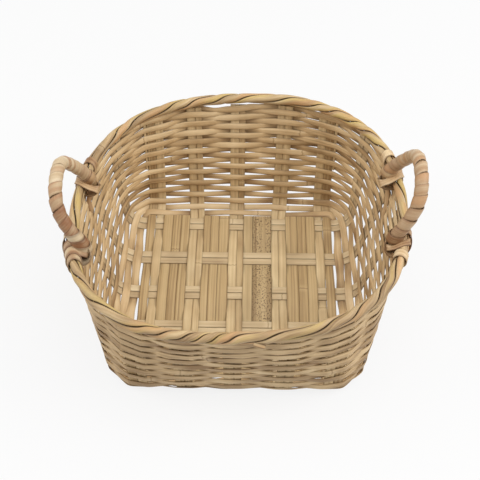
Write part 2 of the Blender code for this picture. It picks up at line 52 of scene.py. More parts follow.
RIM_HALF_X, RIM_HALF_Y, RIM_HEIGHT = 0.140, 0.138, 0.116
FLOOR_HALF_X, FLOOR_HALF_Y = 0.0955, 0.0975
BEND_RADIUS = 0.0195
RIM_RIGHT_LIFT, RIM_BACK_LIFT, RIM_SIDE_DIP = 0.0065, 0.0029, 0.0027
FLOOR_ROUNDNESS, RIM_ROUNDNESS, ROUND_FADE = 0.05, 0.405, 0.8
WEAVE_PLANE, WEAVE_OFFSET = 0.0020, 0.0014
ROPE_RADIUS = 0.0048
# Space between two strips that cross, and between the stakes' ends and the rope
STRIP_GAP, STAKE_TO_ROPE = 0.0003, 0.0012

RIM_RUN = RIM_HALF_X - FLOOR_HALF_X
RIM_RISE = RIM_HEIGHT - WEAVE_PLANE
RIM_FROM_BEND = math.hypot(RIM_RUN, RIM_RISE - BEND_RADIUS)
WALL_SLOPE = math.atan2(RIM_RISE - BEND_RADIUS, RIM_RUN) + math.asin(BEND_RADIUS / RIM_FROM_BEND)
WALL_LENGTH = BEND_RADIUS * WALL_SLOPE + math.sqrt(RIM_FROM_BEND ** 2 - BEND_RADIUS ** 2)
STAKE_END = WALL_LENGTH - ROPE_RADIUS - STAKE_TO_ROPE


def profile(climb):
    """How far out and up the wall has come after this length, and how far it has turned."""
    turn = np.clip(climb / BEND_RADIUS, 0.0, WALL_SLOPE)
    straight = climb - turn * BEND_RADIUS
    out = BEND_RADIUS * np.sin(turn) + straight * np.cos(turn)
    rise = BEND_RADIUS * (1.0 - np.cos(turn)) + straight * np.sin(turn)
    return out, rise, turn


def plan(climb):
    """Half width, half depth and power of the superellipse at this length up the wall."""
    flare = profile(climb)[0] / RIM_RUN
    half_x = FLOOR_HALF_X + flare * (RIM_HALF_X - FLOOR_HALF_X)
    half_y = FLOOR_HALF_Y + flare * (RIM_HALF_Y - FLOOR_HALF_Y)
    fade = np.clip(climb / WALL_LENGTH, 0.0, None) ** ROUND_FADE
    return half_x, half_y, 1.0 / (FLOOR_ROUNDNESS + (RIM_ROUNDNESS - FLOOR_ROUNDNESS) * fade), flare


def wall_point(climb, angle):
    """Points on the wall's middle surface, for lengths up the wall and plan angles."""
    climb, angle = np.broadcast_arrays(np.asarray(climb, float), np.asarray(angle, float))
    half_x, half_y, power, _ = plan(climb)
    cosine, sine = np.cos(angle), np.sin(angle)
    radius = (np.abs(cosine / half_x) ** power + np.abs(sine / half_y) ** power) ** (-1.0 / power)
    rise = profile(climb)[1]
    lift = RIM_RIGHT_LIFT * cosine + RIM_BACK_LIFT * sine - RIM_SIDE_DIP * np.cos(2 * angle)
    height = WEAVE_PLANE + rise + lift * rise / RIM_RISE
    return np.stack([radius * cosine, radius * sine, height], axis=-1)


def unit(vectors):
    """The same directions, one unit long."""
    return vectors / np.linalg.norm(vectors, axis=-1, keepdims=True)


def square_to(vectors, runs):
    """The parts of the vectors at right angles to the runs, one unit long."""
    return unit(vectors - runs * np.sum(vectors * runs, axis=-1, keepdims=True))


def ring_run(climb, angles):
    """The direction round the wall at these places."""
    step = 0.001
    return unit(wall_point(climb, angles + step) - wall_point(climb, angles - step))


STAKE_FEET = (-1.0, -0.505, -0.03, 0.47, 1.0)
STAKE_HEADS = (-0.98, -0.533, -0.02, 0.528, 1.0)
BAND_SHARES = (-0.98, -0.495, -0.02, 0.48, 1.0)
STAKE_FOOT, STAKE_HEAD = 0.875 * FLOOR_HALF_X, 0.590 * RIM_HALF_X
BAND_FOOT, BAND_HEAD = 0.886 * FLOOR_HALF_Y, 0.670 * RIM_HALF_Y
STAKE_WIDTH, EDGE_STRIP_WIDTH, EDGE_SPLIT = 0.0146, 0.0078, 0.0006
BAND_WIDTH, BAND_SPLIT = 0.0150, 0.0006
STRIP_THICKNESS = 0.0012
# Painted shade on the uprights where they climb the walls behind the rows: how much darker they are
# painted there, and the length up the wall by which they have turned so dark
WALL_PAINTED_SHADE, SHADE_CLIMB = 0.26, 0.03
# How far up the wall a strip's upright part starts, how far short of the floor's edge its flat part
# ends, and how far past that edge the weave has levelled out
CLIMB_START, FLOOR_INSET, EDGE_RUN = 0.0018, 0.0006, 0.0012
CLIMB_STEPS, STAKE_STEPS, BAND_STEPS, BOARD_STEPS = 60, 110, 70, 120
EDGE_SHIFT = (EDGE_STRIP_WIDTH + EDGE_SPLIT) / 2
WALL_RUNS = {"front": (1, 0, 0), "right": (0, 1, 0), "back": (-1, 0, 0), "left": (0, -1, 0)}


def stake_angle(wall, number, climb):
    """Plan angle at which an upright strip crosses the wall at these lengths."""
    half_x, half_y, power, flare = plan(climb)
    if wall in ("front", "back"):
        foot, head = STAKE_FEET[number] * STAKE_FOOT, STAKE_HEADS[number] * STAKE_HEAD
        place = foot + (head - foot) * flare
        depth = half_y * (1.0 - np.abs(place / half_x) ** power) ** (1.0 / power)
        return np.arctan2(depth if wall == "back" else -depth, place)
    place = BAND_SHARES[number] * (BAND_FOOT + (BAND_HEAD - BAND_FOOT) * flare)
    depth = half_x * (1.0 - np.abs(place / half_y) ** power) ** (1.0 / power)
    return np.arctan2(place, depth if wall == "right" else -depth)


def upright(wall, number, climbs, shift=0.0):
    """Middle points, sideways and inward directions of a strip that climbs the wall."""
    angles = stake_angle(wall, number, climbs)
    points = wall_point(climbs, angles)
    run = unit(np.gradient(points, axis=0))
    settled = np.sin(profile(climbs)[2])[:, None]
    ring = ring_run(climbs, angles) * settled + np.array(WALL_RUNS[wall], float) * (1.0 - settled)
    wide = square_to(ring, run)
    return points + wide * np.reshape(shift, (-1, 1)), wide, np.cross(run, wide)


def ease(share):
    """A smooth step from 0 to 1."""
    share = np.clip(share, 0.0, 1.0)
    return share * share * (3.0 - 2.0 * share)


def sway(count, seed, waves=(1, 3, 5)):
    """A slow wander between about -1 and 1 along a piece, as hand work has."""
    dice = random.Random(seed)
    along = np.linspace(0.0, 2 * math.pi, count, endpoint=False)
    total = np.zeros(count)
    for wave in waves:
        total += np.sin(wave * along + dice.uniform(0, 6.28))
    return total / len(waves) ** 0.5


def strip_section(half):
    """A strip's outline: shares of half width and thickness, place across, and how near an edge.

    The outer face is a little crowned and the cut edges are rounded.
    """
    edge = 1.0 - min(0.10, 0.00035 / half)
    outline = ((-edge, -0.50), (0.0, -0.50), (edge, -0.50), (1.0, -0.2), (1.0, 0.2), (edge, 0.50),
               (0.45, 0.57), (0.0, 0.60), (-0.45, 0.57), (-edge, 0.50), (-1.0, 0.2), (-1.0, -0.2))
    return [(across, rise, across, abs(across)) for across, rise in outline]


def lengths_along(points):
    """How far along its line each point lies."""
    steps = np.linalg.norm(np.diff(points, axis=0), axis=1)
    return np.concatenate([[0.0], np.cumsum(steps)])


class Strip:
    """One strip: middle points, sideways and face directions, half widths and thickness."""

    def __init__(self, points, wide, face, half, thickness, closed=False, tone=0.5, seed=0.0,
                 section=None):
        count = len(points)
        self.points, self.wide, self.face, self.closed = points, wide, face, closed
        self.half = np.broadcast_to(np.asarray(half, float), (count,))
        self.thickness = np.broadcast_to(np.asarray(thickness, float), (count,))
        self.section = section or strip_section(float(np.mean(self.half)))
        tone = np.asarray(tone, float)
        self.tone = np.broadcast_to(tone if tone.ndim == 2 else np.atleast_1d(tone)[:, None],
                                    (count, len(self.section)))
        self.seed = seed


def strip_mesh(name, strips):
    """One mesh of several strips. Its map holds the length along and the place across each."""
    vertices, faces, edge_values, tones, seeds, corners = [], [], [], [], [], []
    for strip in strips:
        first, count, around = len(vertices), len(strip.points), len(strip.section)
        across, high, spot, edge = np.array(strip.section).T
        rings = (strip.points[:, None] + strip.wide[:, None] * (strip.half[:, None] * across)[..., None]
                 + strip.face[:, None] * (strip.thickness[:, None] * high)[..., None])
        vertices.extend(map(tuple, rings.reshape(-1, 3)))
        edge_values.extend(np.tile(edge, count))
        tones.extend(strip.tone.ravel())
        seeds.extend([strip.seed] * count * around)
        loop = np.vstack([strip.points, strip.points[:1]]) if strip.closed else strip.points
        along = lengths_along(loop)
        for index in range(count if strip.closed else count - 1):
            here, there = index * around, ((index + 1) % count) * around
            near = strip.half[index]
            for side in range(around):
                after = (side + 1) % around
                faces.append((first + here + side, first + there + side,
                              first + there + after, first + here + after))
                corners.extend(((along[index], near * spot[side]),
                                (along[index + 1], near * spot[side]),
                                (along[index + 1], near * spot[after]),
                                (along[index], near * spot[after])))
        if not strip.closed:
            for index, order in ((0, range(around)), (count - 1, range(around - 1, -1, -1))):
                faces.append(tuple(first + index * around + side for side in order))
                corners.extend((along[index], strip.half[index] * spot[side]) for side in order)
    mesh = bpy.data.meshes.new(name)
    mesh.from_pydata(vertices, [], faces)
    mesh.uv_layers.new(name="grain").data.foreach_set("uv", np.array(corners, float).ravel())
    for label, values in (("edge", edge_values), ("tone", tones), ("seed", seeds)):
        mesh.attributes.new(label, "FLOAT", "POINT").data.foreach_set("value", values)
    mesh.shade_smooth()
    mesh.set_sharp_from_angle(angle=math.radians(50))
    return mesh


def place(name, strips, material, slot, *nodes):
    """A finished piece that stands for its nodes and rides on the basket."""
    piece = bpy.data.objects.new(name, strip_mesh(name, strips))
    piece.data.materials.append(material)
    bpy.context.scene.collection.objects.link(piece)
    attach(piece, "root")
    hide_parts(*nodes)


class Tint:
    """An output of a finish's nodes, so that masks and tones can be written as sums."""

    def __init__(self, tree, socket=None):
        self.tree, self.socket = tree, socket

    def node(self, kind, settings=None, sockets=None, output=0):
        """Add a node with these settings and socket values or links, and take an output of it."""
        made = self.tree.nodes.new("ShaderNode" + kind)
        for label, value in (settings or {}).items():
            if label == "stops":
                ramp = made.color_ramp
                while len(ramp.elements) < len(value):
                    ramp.elements.new(0.5)
                for stop, (where, colour) in zip(ramp.elements, value):
                    stop.position, stop.color = where, (*colour, 1.0)
            else:
                setattr(made, label, value)
        for label, value in (sockets or {}).items():
            if isinstance(value, Tint):
                self.tree.links.new(value.socket, made.inputs[label])
            else:
                made.inputs[label].default_value = value
        return Tint(self.tree, made.outputs[output])

    def maths(self, operation, first, second=0.0):
        return self.node("Math", {"operation": operation}, {0: first, 1: second})

    def __add__(self, other): return self.maths("ADD", self, other)
    def __radd__(self, other): return self.maths("ADD", other, self)
    def __sub__(self, other): return self.maths("SUBTRACT", self, other)
    def __rsub__(self, other): return self.maths("SUBTRACT", other, self)
    def __mul__(self, other): return self.maths("MULTIPLY", self, other)
    def __rmul__(self, other): return self.maths("MULTIPLY", other, self)
    def __truediv__(self, other): return self.maths("DIVIDE", self, other)

    def between(self, low, high, bottom=0.0, top=1.0):
        """A smooth step from bottom at low to top at high."""
        return self.node("MapRange", {"interpolation_type": "SMOOTHSTEP"},
                         {0: self, 1: low, 2: high, 3: bottom, 4: top})


def mix(share, first, second, blend="MIX"):
    """Two colours, or one colour over another, by a share."""
    some = next(value for value in (share, first, second) if isinstance(value, Tint))
    sockets = {}
    for label, value in ((0, share), (6, first), (7, second)):
        sockets[label] = (*value, 1.0) if isinstance(value, tuple) else value
    return some.node("Mix", {"data_type": "RGBA", "blend_type": blend}, sockets, output=2)


def srgb(red, green, blue):
    """A colour as the eye names it, from 0 to 255, in the renderer's units."""
    shares = (channel / 255 for channel in (red, green, blue))
    return tuple(s / 12.92 if s <= 0.04045 else ((s + 0.055) / 1.055) ** 2.4 for s in shares)


def bamboo(name, dark, mid, pale, streak=0.5, streaks=260.0, patches=0.45, node_gap=0.36,
           grey=0.3, edge_wear_and_shade=0.45, edge_from=0.80, blush=(), freckles=0.0, gloss=0.55):
    """A finish of split bamboo or cane: fibres, streaks, nodes, stains and darker cut edges,
    which are partly wear and partly painted shade of the dark lines between strips.

    streaks is how many lengthwise streaks a metre of width has, and node_gap the length between
    two nodes of the culm. blush holds more colours that lie on it in long patches.
    """
    dark, mid, pale = (srgb(*colour) for colour in (dark, mid, pale))
    material = bpy.data.materials.new(name)
    material.use_nodes = True
    shader = material.node_tree.nodes["Principled BSDF"]
    paint = Tint(material.node_tree)
    grain = paint.node("UVMap", {"uv_map": "grain"})
    along = paint.node("SeparateXYZ", {}, {0: grain}, output=0)
    across = paint.node("SeparateXYZ", {}, {0: grain}, output=1)
    tone = paint.node("Attribute", {"attribute_name": "tone"}, output=2)
    seed = paint.node("Attribute", {"attribute_name": "seed"}, output=2)
    edge = paint.node("Attribute", {"attribute_name": "edge"}, output=2)

    def noise(length_scale, width_scale, turn, detail=2.0, rough=0.55):
        spot = paint.node("CombineXYZ", {}, {0: along * length_scale, 1: across * width_scale,
                                             2: seed * (7.3 * turn) + turn})
        return paint.node("TexNoise", {}, {"Vector": spot, "Scale": 1.0, "Detail": detail,
                                           "Roughness": rough})

    fibre = noise(16.0, 1700.0, 1.0)
    broad = noise(5.0, streaks, 2.0)
    patch = noise(30.0, 70.0, 3.0, detail=3.0)
    shade = (0.5 + (fibre - 0.5) * 0.30 + (broad - 0.5) * (1.6 * streak) + (patch - 0.5) * patches
             + (tone - 0.5) * 0.75)
    colour = paint.node("ValToRGB", {"stops": ((0.14, dark), (0.5, mid), (0.86, pale))}, {0: shade})
    for number, hue in enumerate(blush):
        drift = noise(21.0, 110.0, 7.0 + number, detail=1.0)
        colour = mix(drift.between(0.47, 0.66) * 0.75, colour, srgb(*hue))
    where = paint.node("TexCoord", output=3)
    smudge = paint.node("TexNoise", {}, {"Vector": where, "Scale": 17.0, "Detail": 3.0})
    dull = smudge.between(0.48, 0.68) * grey
    colour = mix(dull, colour, tuple(c * s for c, s in zip(mid, (0.66, 0.66, 0.70))))
    cell = paint.maths("FRACT", along / node_gap + seed * 3.7)
    off = paint.maths("ABSOLUTE", cell - 0.5 + (broad - 0.5) * 0.008) * node_gap
    ring = off.between(0.0002, 0.0009, 1.0, 0.0)
    halo = off.between(0.0010, 0.0060, 1.0, 0.0) - ring
    colour = mix(halo * 0.30, colour, pale)
    colour = mix(ring * 0.45, colour, dark)
    if freckles:
        spots = noise(420.0, 620.0, 5.0, rough=0.7)
        field = noise(8.0, 120.0, 6.0, detail=1.0)
        darker_board = tone.between(0.48, 0.52, 1.0, 0.0)
        mask = spots.between(0.52, 0.61) * field.between(0.30, 0.48) * darker_board * freckles
        colour = mix(mask, colour, srgb(98, 76, 55))
    # Painted shade: the cut edges are darkened, partly for their wear and partly as the shade in the
    # dark lines between strips
    colour = mix(edge.between(edge_from, 1.0) * edge_wear_and_shade, colour, tuple(c * 0.45 for c in dark))
    rough = gloss + (fibre - 0.5) * 0.22 + dull * 0.3
    height = fibre * 0.5 + broad * 0.8 + halo * 0.9
    bump = paint.node("Bump", {}, {"Height": height, "Strength": 0.35, "Distance": 0.0006})
    for label, value in (("Base Color", colour), ("Roughness", rough), ("Normal", bump)):
        material.node_tree.links.new(value.socket, shader.inputs[label])
    shader.inputs["Specular IOR Level"].default_value = 0.30
    return material


BAND_PLACES = [share * BAND_FOOT for share in BAND_SHARES]
BAND_FLAT_HALF = BAND_WIDTH / 2 + STRIP_GAP


def weave_height(y_places, over_outer_bands):
    """Height of a strip that goes over and under the cross bands, at these places."""
    knots, heights = [], []
    for index, band in enumerate(BAND_PLACES):
        over = (index % 2 == 0) == over_outer_bands
        knots.extend((band - BAND_FLAT_HALF, band + BAND_FLAT_HALF))
        heights.extend([WEAVE_OFFSET if over else -WEAVE_OFFSET] * 2)
    knots = [-FLOOR_HALF_Y - EDGE_RUN] + knots + [FLOOR_HALF_Y + EDGE_RUN]
    heights = [0.0] + heights + [0.0]
    segment = np.clip(np.searchsorted(knots, y_places) - 1, 0, len(knots) - 2)
    low, high = np.array(knots)[segment], np.array(knots)[segment + 1]
    share = ease((y_places - low) / (high - low))
    levels = np.array(heights)
    return WEAVE_PLANE + levels[segment] + (levels[segment + 1] - levels[segment]) * share


def turned_up(walls, number, shift, floor, half, thickness, tone, drift, waves, seed):
    """A strip that comes down the first wall, crosses the floor and climbs the second.

    drift is how much its tone wanders along it, in these waves.
    """
    climbs = np.linspace(CLIMB_START, STAKE_END, CLIMB_STEPS)
    sign = 1 if walls[0] == "front" else -1
    first, second = (upright(wall, number, climbs, turn * shift)
                     for wall, turn in zip(walls, (sign, -sign)))
    points = np.vstack([first[0][::-1], floor, second[0]])
    runs = unit(np.gradient(points, axis=0))
    flat = np.tile(np.abs(WALL_RUNS[walls[0]]), (len(floor), 1))
    wide = square_to(np.vstack([sign * first[1][::-1], flat, -sign * second[1]]), runs)
    climbed = np.concatenate([climbs[::-1], np.zeros(len(floor)), climbs])
    # Painted shade: darker where the strip climbs a wall behind the rows
    tones = (tone - WALL_PAINTED_SHADE * ease(climbed / SHADE_CLIMB)
             + drift * sway(len(points), seed, waves))
    return Strip(points, wide, sign * np.cross(wide, runs), half, thickness, tone=tones, seed=seed)


def row_of_points(*coordinates):
    """Points with these coordinates, of which some are the same for all."""
    return np.stack(np.broadcast_arrays(*coordinates), axis=-1)


def through_strip(number, shift, half, over_outer_bands, tone, seed):
    """A strip that runs from the front wall through the floor to the back wall."""
    places = np.linspace(-FLOOR_HALF_Y + FLOOR_INSET, FLOOR_HALF_Y - FLOOR_INSET, STAKE_STEPS)
    floor = row_of_points(STAKE_FEET[number] * STAKE_FOOT + shift, places,
                          weave_height(places, over_outer_bands))
    return turned_up(("front", "back"), number, shift, floor, half, STRIP_THICKNESS, tone,
                     0.08, (3, 7, 13), seed)


stake_finish = bamboo("stake_finish", (158, 130, 92), (203, 177, 134), (225, 203, 160),
                      streak=0.50, streaks=420.0, grey=0.30)
# Width share of the left strip of a pair, and the tones of both
SIDE_BY_SIDE = {1: (0.56, 0.62, 0.48), 2: (0.58, 0.66, 0.34), 3: (0.48, 0.64, 0.56)}

for number in range(5):
    if number in SIDE_BY_SIDE:
        share, first_tone, second_tone = SIDE_BY_SIDE[number]
        first, second = STAKE_WIDTH * share, STAKE_WIDTH * (1 - share)
        strips = [through_strip(number, first / 2 - STAKE_WIDTH / 2, first / 2, False,
                                first_tone, 0.11 + number),
                  through_strip(number, STAKE_WIDTH / 2 - second / 2, second / 2, False,
                                second_tone, 0.57 + number)]
    else:
        shift = EDGE_SHIFT if number == 0 else -EDGE_SHIFT
        strips = [through_strip(number, shift, (EDGE_STRIP_WIDTH + EDGE_SPLIT) / 2, False, 0.58,
                                0.31 + number)]
    place(f"stake_strip_{number + 1}", strips, stake_finish, "stake_bamboo",
          f"floor_stake_{number + 1}")


# Cross bands: pairs of narrow strips of split bamboo that cross the floor from side to side and
# turn up both side walls. They lie flat, and the stakes and panels are woven over and under them.

BAND_THICKNESS = 0.0010


def band_strip(number, side, tone, seed):
    """A strip that runs from the left wall through the floor to the right wall."""
    shift = side * (BAND_WIDTH + BAND_SPLIT) / 4
    places = np.linspace(-FLOOR_HALF_X + FLOOR_INSET, FLOOR_HALF_X - FLOOR_INSET, BAND_STEPS)
    floor = row_of_points(places, BAND_SHARES[number] * BAND_FOOT + shift, WEAVE_PLANE)
    return turned_up(("left", "right"), number, shift, floor, (BAND_WIDTH - BAND_SPLIT * 0.4) / 4,
                     BAND_THICKNESS, tone, 0.10, (4, 9, 14), seed)


band_finish = bamboo("band_finish", (160, 134, 100), (206, 183, 144), (230, 211, 174),
                     streak=0.35, streaks=300.0, grey=0.25)
# Tones of the front and the back strip of each pair
BAND_TONES = ((0.50, 0.62), (0.55, 0.50), (0.42, 0.60), (0.40, 0.55), (0.45, 0.62))
for number in range(5):
    for label, side, tone in zip(("front", "back"), (-1, 1), BAND_TONES[number]):
        strip = band_strip(number, side, tone, number + 0.37 * side + 2.1)
        place(f"band_strip_{number + 1}_{label}", [strip], band_finish, "band_bamboo",
              f"cross_band_{number + 1}_{label}")


# Floor panels: wide coarse boards of split bamboo that fill the floor between the stakes and end
# at its edge. The narrow one at each side turns up beside its stake and makes a pair with it.

PANEL_END_GAP = 0.001
panel_finish = bamboo("panel_finish", (140, 111, 75), (190, 163, 119), (214, 190, 145),
                      streak=0.62, streaks=560.0, patches=0.2, grey=0.15, node_gap=0.5)
speckled_finish = bamboo("speckled_finish", (134, 108, 76), (188, 163, 121), (212, 189, 146),
                         streak=0.7, streaks=300.0, patches=0.25, grey=0.2, freckles=0.85,
                         node_gap=0.5)


def board(left, right, tone, seed):
    """A board across the floor from front to back."""
    reach = FLOOR_HALF_Y - PANEL_END_GAP
    places = np.linspace(-reach, reach, BOARD_STEPS)
    outer = np.abs(places) > BAND_PLACES[-1]
    heights = weave_height(places, True)
    heights[outer] = WEAVE_PLANE + WEAVE_OFFSET
    points = row_of_points((left + right) / 2, places, heights)
    runs = unit(np.gradient(points, axis=0))
    wide = np.tile([1.0, 0.0, 0.0], (len(places), 1))
    return Strip(points, wide, np.cross(wide, runs), (right - left) / 2, STRIP_THICKNESS,
                 tone=tone, seed=seed)


# Each board between two stakes: shares of its width at which it is split, and tones
BOARD_SPLITS = {1: ((0.0, 0.36, 0.68, 1.0), (0.52, 0.46, 0.50)),
                2: ((0.0, 0.27, 0.60, 1.0), (0.54, 0.50, 0.55)),
                3: ((0.0, 0.33, 1.0), (0.56, 0.44)),
                4: ((0.0, 0.40, 0.70, 1.0), (0.50, 0.45, 0.52))}
BOARD_TUCK = 0.0003
for index in range(6):
    if index in (0, 5):
        stake = 0 if index == 0 else 4
        shift = -EDGE_SHIFT if index == 0 else EDGE_SHIFT
        strips = [through_strip(stake, shift, (EDGE_STRIP_WIDTH + EDGE_SPLIT) / 2, True, 0.44,
                                9.3 + index)]
    else:
        left = STAKE_FEET[index - 1] * STAKE_FOOT + STAKE_WIDTH / 2
        right = STAKE_FEET[index] * STAKE_FOOT - STAKE_WIDTH / 2
        if index == 1:
            left = STAKE_FEET[0] * STAKE_FOOT + EDGE_SHIFT + (EDGE_STRIP_WIDTH + EDGE_SPLIT) / 2
        if index == 4:
            right = STAKE_FEET[4] * STAKE_FOOT - EDGE_SHIFT - (EDGE_STRIP_WIDTH + EDGE_SPLIT) / 2
        cuts, tones = BOARD_SPLITS[index]
        strips = []
        for number, tone in enumerate(tones):
            start, end = (left + (right - left) * cut for cut in cuts[number:number + 2])
            if number == 0:
                start -= BOARD_TUCK
            if number == len(tones) - 1:
                end += BOARD_TUCK
            strips.append(board(start, end, tone, 4.4 + index + 0.6 * number))
    finish = speckled_finish if index == 3 else panel_finish
    place(f"panel_board_{index + 1}", strips, finish, "panel_bamboo", f"floor_panel_{index + 1}")


# Corner stakes: thin wedges pushed down into the weave beside the outermost stakes, where the
# wall grows wider. They are held by the rows that pass round them.

ROW_COUNT, ROW_START, ROW_CROWDING = 21, 0.0045, 0.45
LASH_THICKNESS, LASH_WIDTH, LASH_GAP = 0.0009, 0.0050, 0.0006
LASH_RADIUS = (ROPE_RADIUS + LASH_GAP) / math.cos(math.pi / 8) + LASH_THICKNESS / 2
LAST_ROW_TO_LASH, CORNER_TO_STAKE_END, CORNER_STEPS = 0.0016, 0.0015, 50
ROW_TOP_SPACE = LASH_RADIUS + LASH_THICKNESS / 2 + LAST_ROW_TO_LASH
ROWS_TO_TOP = ROW_COUNT - 0.5
FOOT_PITCH = ((WALL_LENGTH - ROW_TOP_SPACE - ROW_START) / ROWS_TO_TOP) / (1.0 - ROW_CROWDING / 2)
CORNER_FIRST_ROW = 9
CORNER_FOOT_WIDTH, CORNER_TOP_WIDTH, CORNER_SPLIT = 0.0016, 0.0030, 0.0005
EDGE_PAIR_HALF = EDGE_STRIP_WIDTH + EDGE_SPLIT / 2


def row_climb(row):
    """Length up the wall of a row. The rows crowd towards the rim."""
    return ROW_START + FOOT_PITCH * row * (1.0 - ROW_CROWDING * row / (2 * ROWS_TO_TOP))


def corner_width(climb):
    """Width of a corner wedge, which grows towards the rim."""
    foot = row_climb(CORNER_FIRST_ROW - 0.5)
    share = np.clip((climb - foot) / (STAKE_END - foot), 0.0, 1.0)
    return CORNER_FOOT_WIDTH + (CORNER_TOP_WIDTH - CORNER_FOOT_WIDTH) * share


CORNER_WEDGES = (("front", 4, 1), ("back", 4, -1), ("back", 0, 1), ("front", 0, -1))
for index, (wall, number, side) in enumerate(CORNER_WEDGES):
    climbs = np.linspace(row_climb(CORNER_FIRST_ROW - 0.5), STAKE_END - CORNER_TO_STAKE_END,
                         CORNER_STEPS)
    widths = corner_width(climbs)
    points, wide, inward = upright(wall, number, climbs,
                                   side * (EDGE_PAIR_HALF + CORNER_SPLIT + widths / 2))
    strip = Strip(points, wide, inward, widths / 2, STRIP_THICKNESS, tone=0.35, seed=13.1 + index)
    place(f"corner_strip_{index + 1}", [strip], stake_finish, "stake_bamboo",
          f"corner_stake_{index + 1}")


# Weaver rows: thin strips of split bamboo, each woven in front of one upright and behind the
# next, all the way round. The upper ones are beaten down tight, and the lowest lie open.

WEAVER_THICKNESS = 0.0008
WALL_OFFSET = STRIP_THICKNESS / 2 + STRIP_GAP + WEAVER_THICKNESS / 2
TURN_ALLOWANCE = 0.0005
CORNER_BULGE, CORNER_BULGE_ROWS, LEAST_BULGE = 0.9, 11, 0.22
SIDE_DROP, SIDE_DROP_ROWS = 0.0024, 4
# Widths at some of the rows, and what the lowest rows and the front ones have more
WIDTH_ROWS, ROW_WIDTHS = (0, 4, 9, 13, 20), (0.0057, 0.0056, 0.0057, 0.0064, 0.0067)
LOW_ROW_WIDENING, FRONT_WIDENING, FRONT_TUCK = 0.0018, 0.0020, 0.0014
# How far two rows lie over each other between uprights: anywhere, more near the rim, more in front
LEAST_OVERLAP, TOP_OVERLAP, FRONT_OVERLAP = 0.0001, 0.0007, 0.0012
TOP_ROW_RISE, TOP_ROWS = 0.0028, 4
OPEN_RIM_ANGLE, OPEN_RIM_REACH = 1.68, 0.16
# Waves out of level: height, how many go round, where they start and how far they shift by the rim
ROW_WAVES = ((0.00045, 3, 1.0, 2.0), (0.00035, 7, 2.6, -1.5), (0.00022, 13, 0.4, 3.0))
ROW_LEAN, WEAVER_STEP = 0.10, 0.0018
CORNERS = {"front": (1, -1), "right": (1, 1), "back": (-1, 1), "left": (-1, -1)}

weaver_finish = bamboo("weaver_finish", (146, 116, 80), (202, 173, 130), (228, 204, 163),
                       streak=0.35, streaks=420.0, patches=0.75, edge_wear_and_shade=0.42, edge_from=0.78,
                       node_gap=0.43)


def uprights():
    """The uprights that a row meets, in order round the basket: wall, number, half width and on
    which side of it the corner is."""
    around = []
    for wall in CORNERS:
        order = range(5) if wall in ("front", "right") else range(4, -1, -1)
        for place_number, number in enumerate(order):
            paired = wall in ("front", "back") and number in (0, 4)
            half = EDGE_PAIR_HALF if paired else STAKE_WIDTH / 2
            if wall in ("right", "left"):
                half = BAND_WIDTH / 2
            side = 0 if not paired else (-1 if place_number == 0 else 1)
            around.append((wall, number, half, side))
        around.append((wall, None, 0.0, 0))
    return around


def crossing(wall, number, climb, reach):
    """Middle, upward, sideways and outward directions where a row crosses an upright."""
    corner = CORNERS[wall]

    def angle_at(length):
        if number is not None:
            return stake_angle(wall, number, length)
        half_x, half_y = plan(length)[:2]
        return math.atan2(corner[1] * half_y, corner[0] * half_x)

    low, high = (wall_point(climb + step, angle_at(climb + step)) for step in (-reach, reach))
    up, angle = unit(high - low), angle_at(climb)
    ring = ring_run(climb, angle)
    if number is not None:
        settled = math.sin(profile(climb)[2])
        ring = ring * settled + np.array(WALL_RUNS[wall], float) * (1.0 - settled)
    wide = unit(ring - up * ring.dot(up))
    return (low + high) / 2, up, wide, np.cross(wide, up), np.linalg.norm(high - low)


def wander(angles, row):
    """How far the rows are out of level, the same for neighbours so that none cross.

    The uppermost touch the rope, but for one stretch of the back wall where a gap stays open.
    """
    height = row / ROW_COUNT
    open_rim = ease(1.3 - np.abs(angles - OPEN_RIM_ANGLE) / OPEN_RIM_REACH)
    top_share = max(0.0, (row - ROW_COUNT + 1 + TOP_ROWS) / TOP_ROWS)
    waves = sum(rise * np.sin(turns * angles + start + shift * height)
                for rise, turns, start, shift in ROW_WAVES)
    level_share = math.sin(math.pi * min(1.0, height * 1.15 + 0.05))
    return waves * level_share + TOP_ROW_RISE * top_share * (1.0 - open_rim)


def soften(values, rounds):
    """Closed rows of values with their sharp turns rounded off."""
    for _ in range(rounds):
        values = (np.roll(values, 1, axis=0) + values * 2 + np.roll(values, -1, axis=0)) / 4
    return values


def read_at(at, lengths, table):
    """The rows of a table at these lengths, in between the ones that it has."""
    return np.column_stack([np.interp(at, lengths, column) for column in table.T])


def loop_runs(points):
    """The direction along a closed line at each of its points."""
    return unit(np.roll(points, -1, axis=0) - np.roll(points, 1, axis=0))


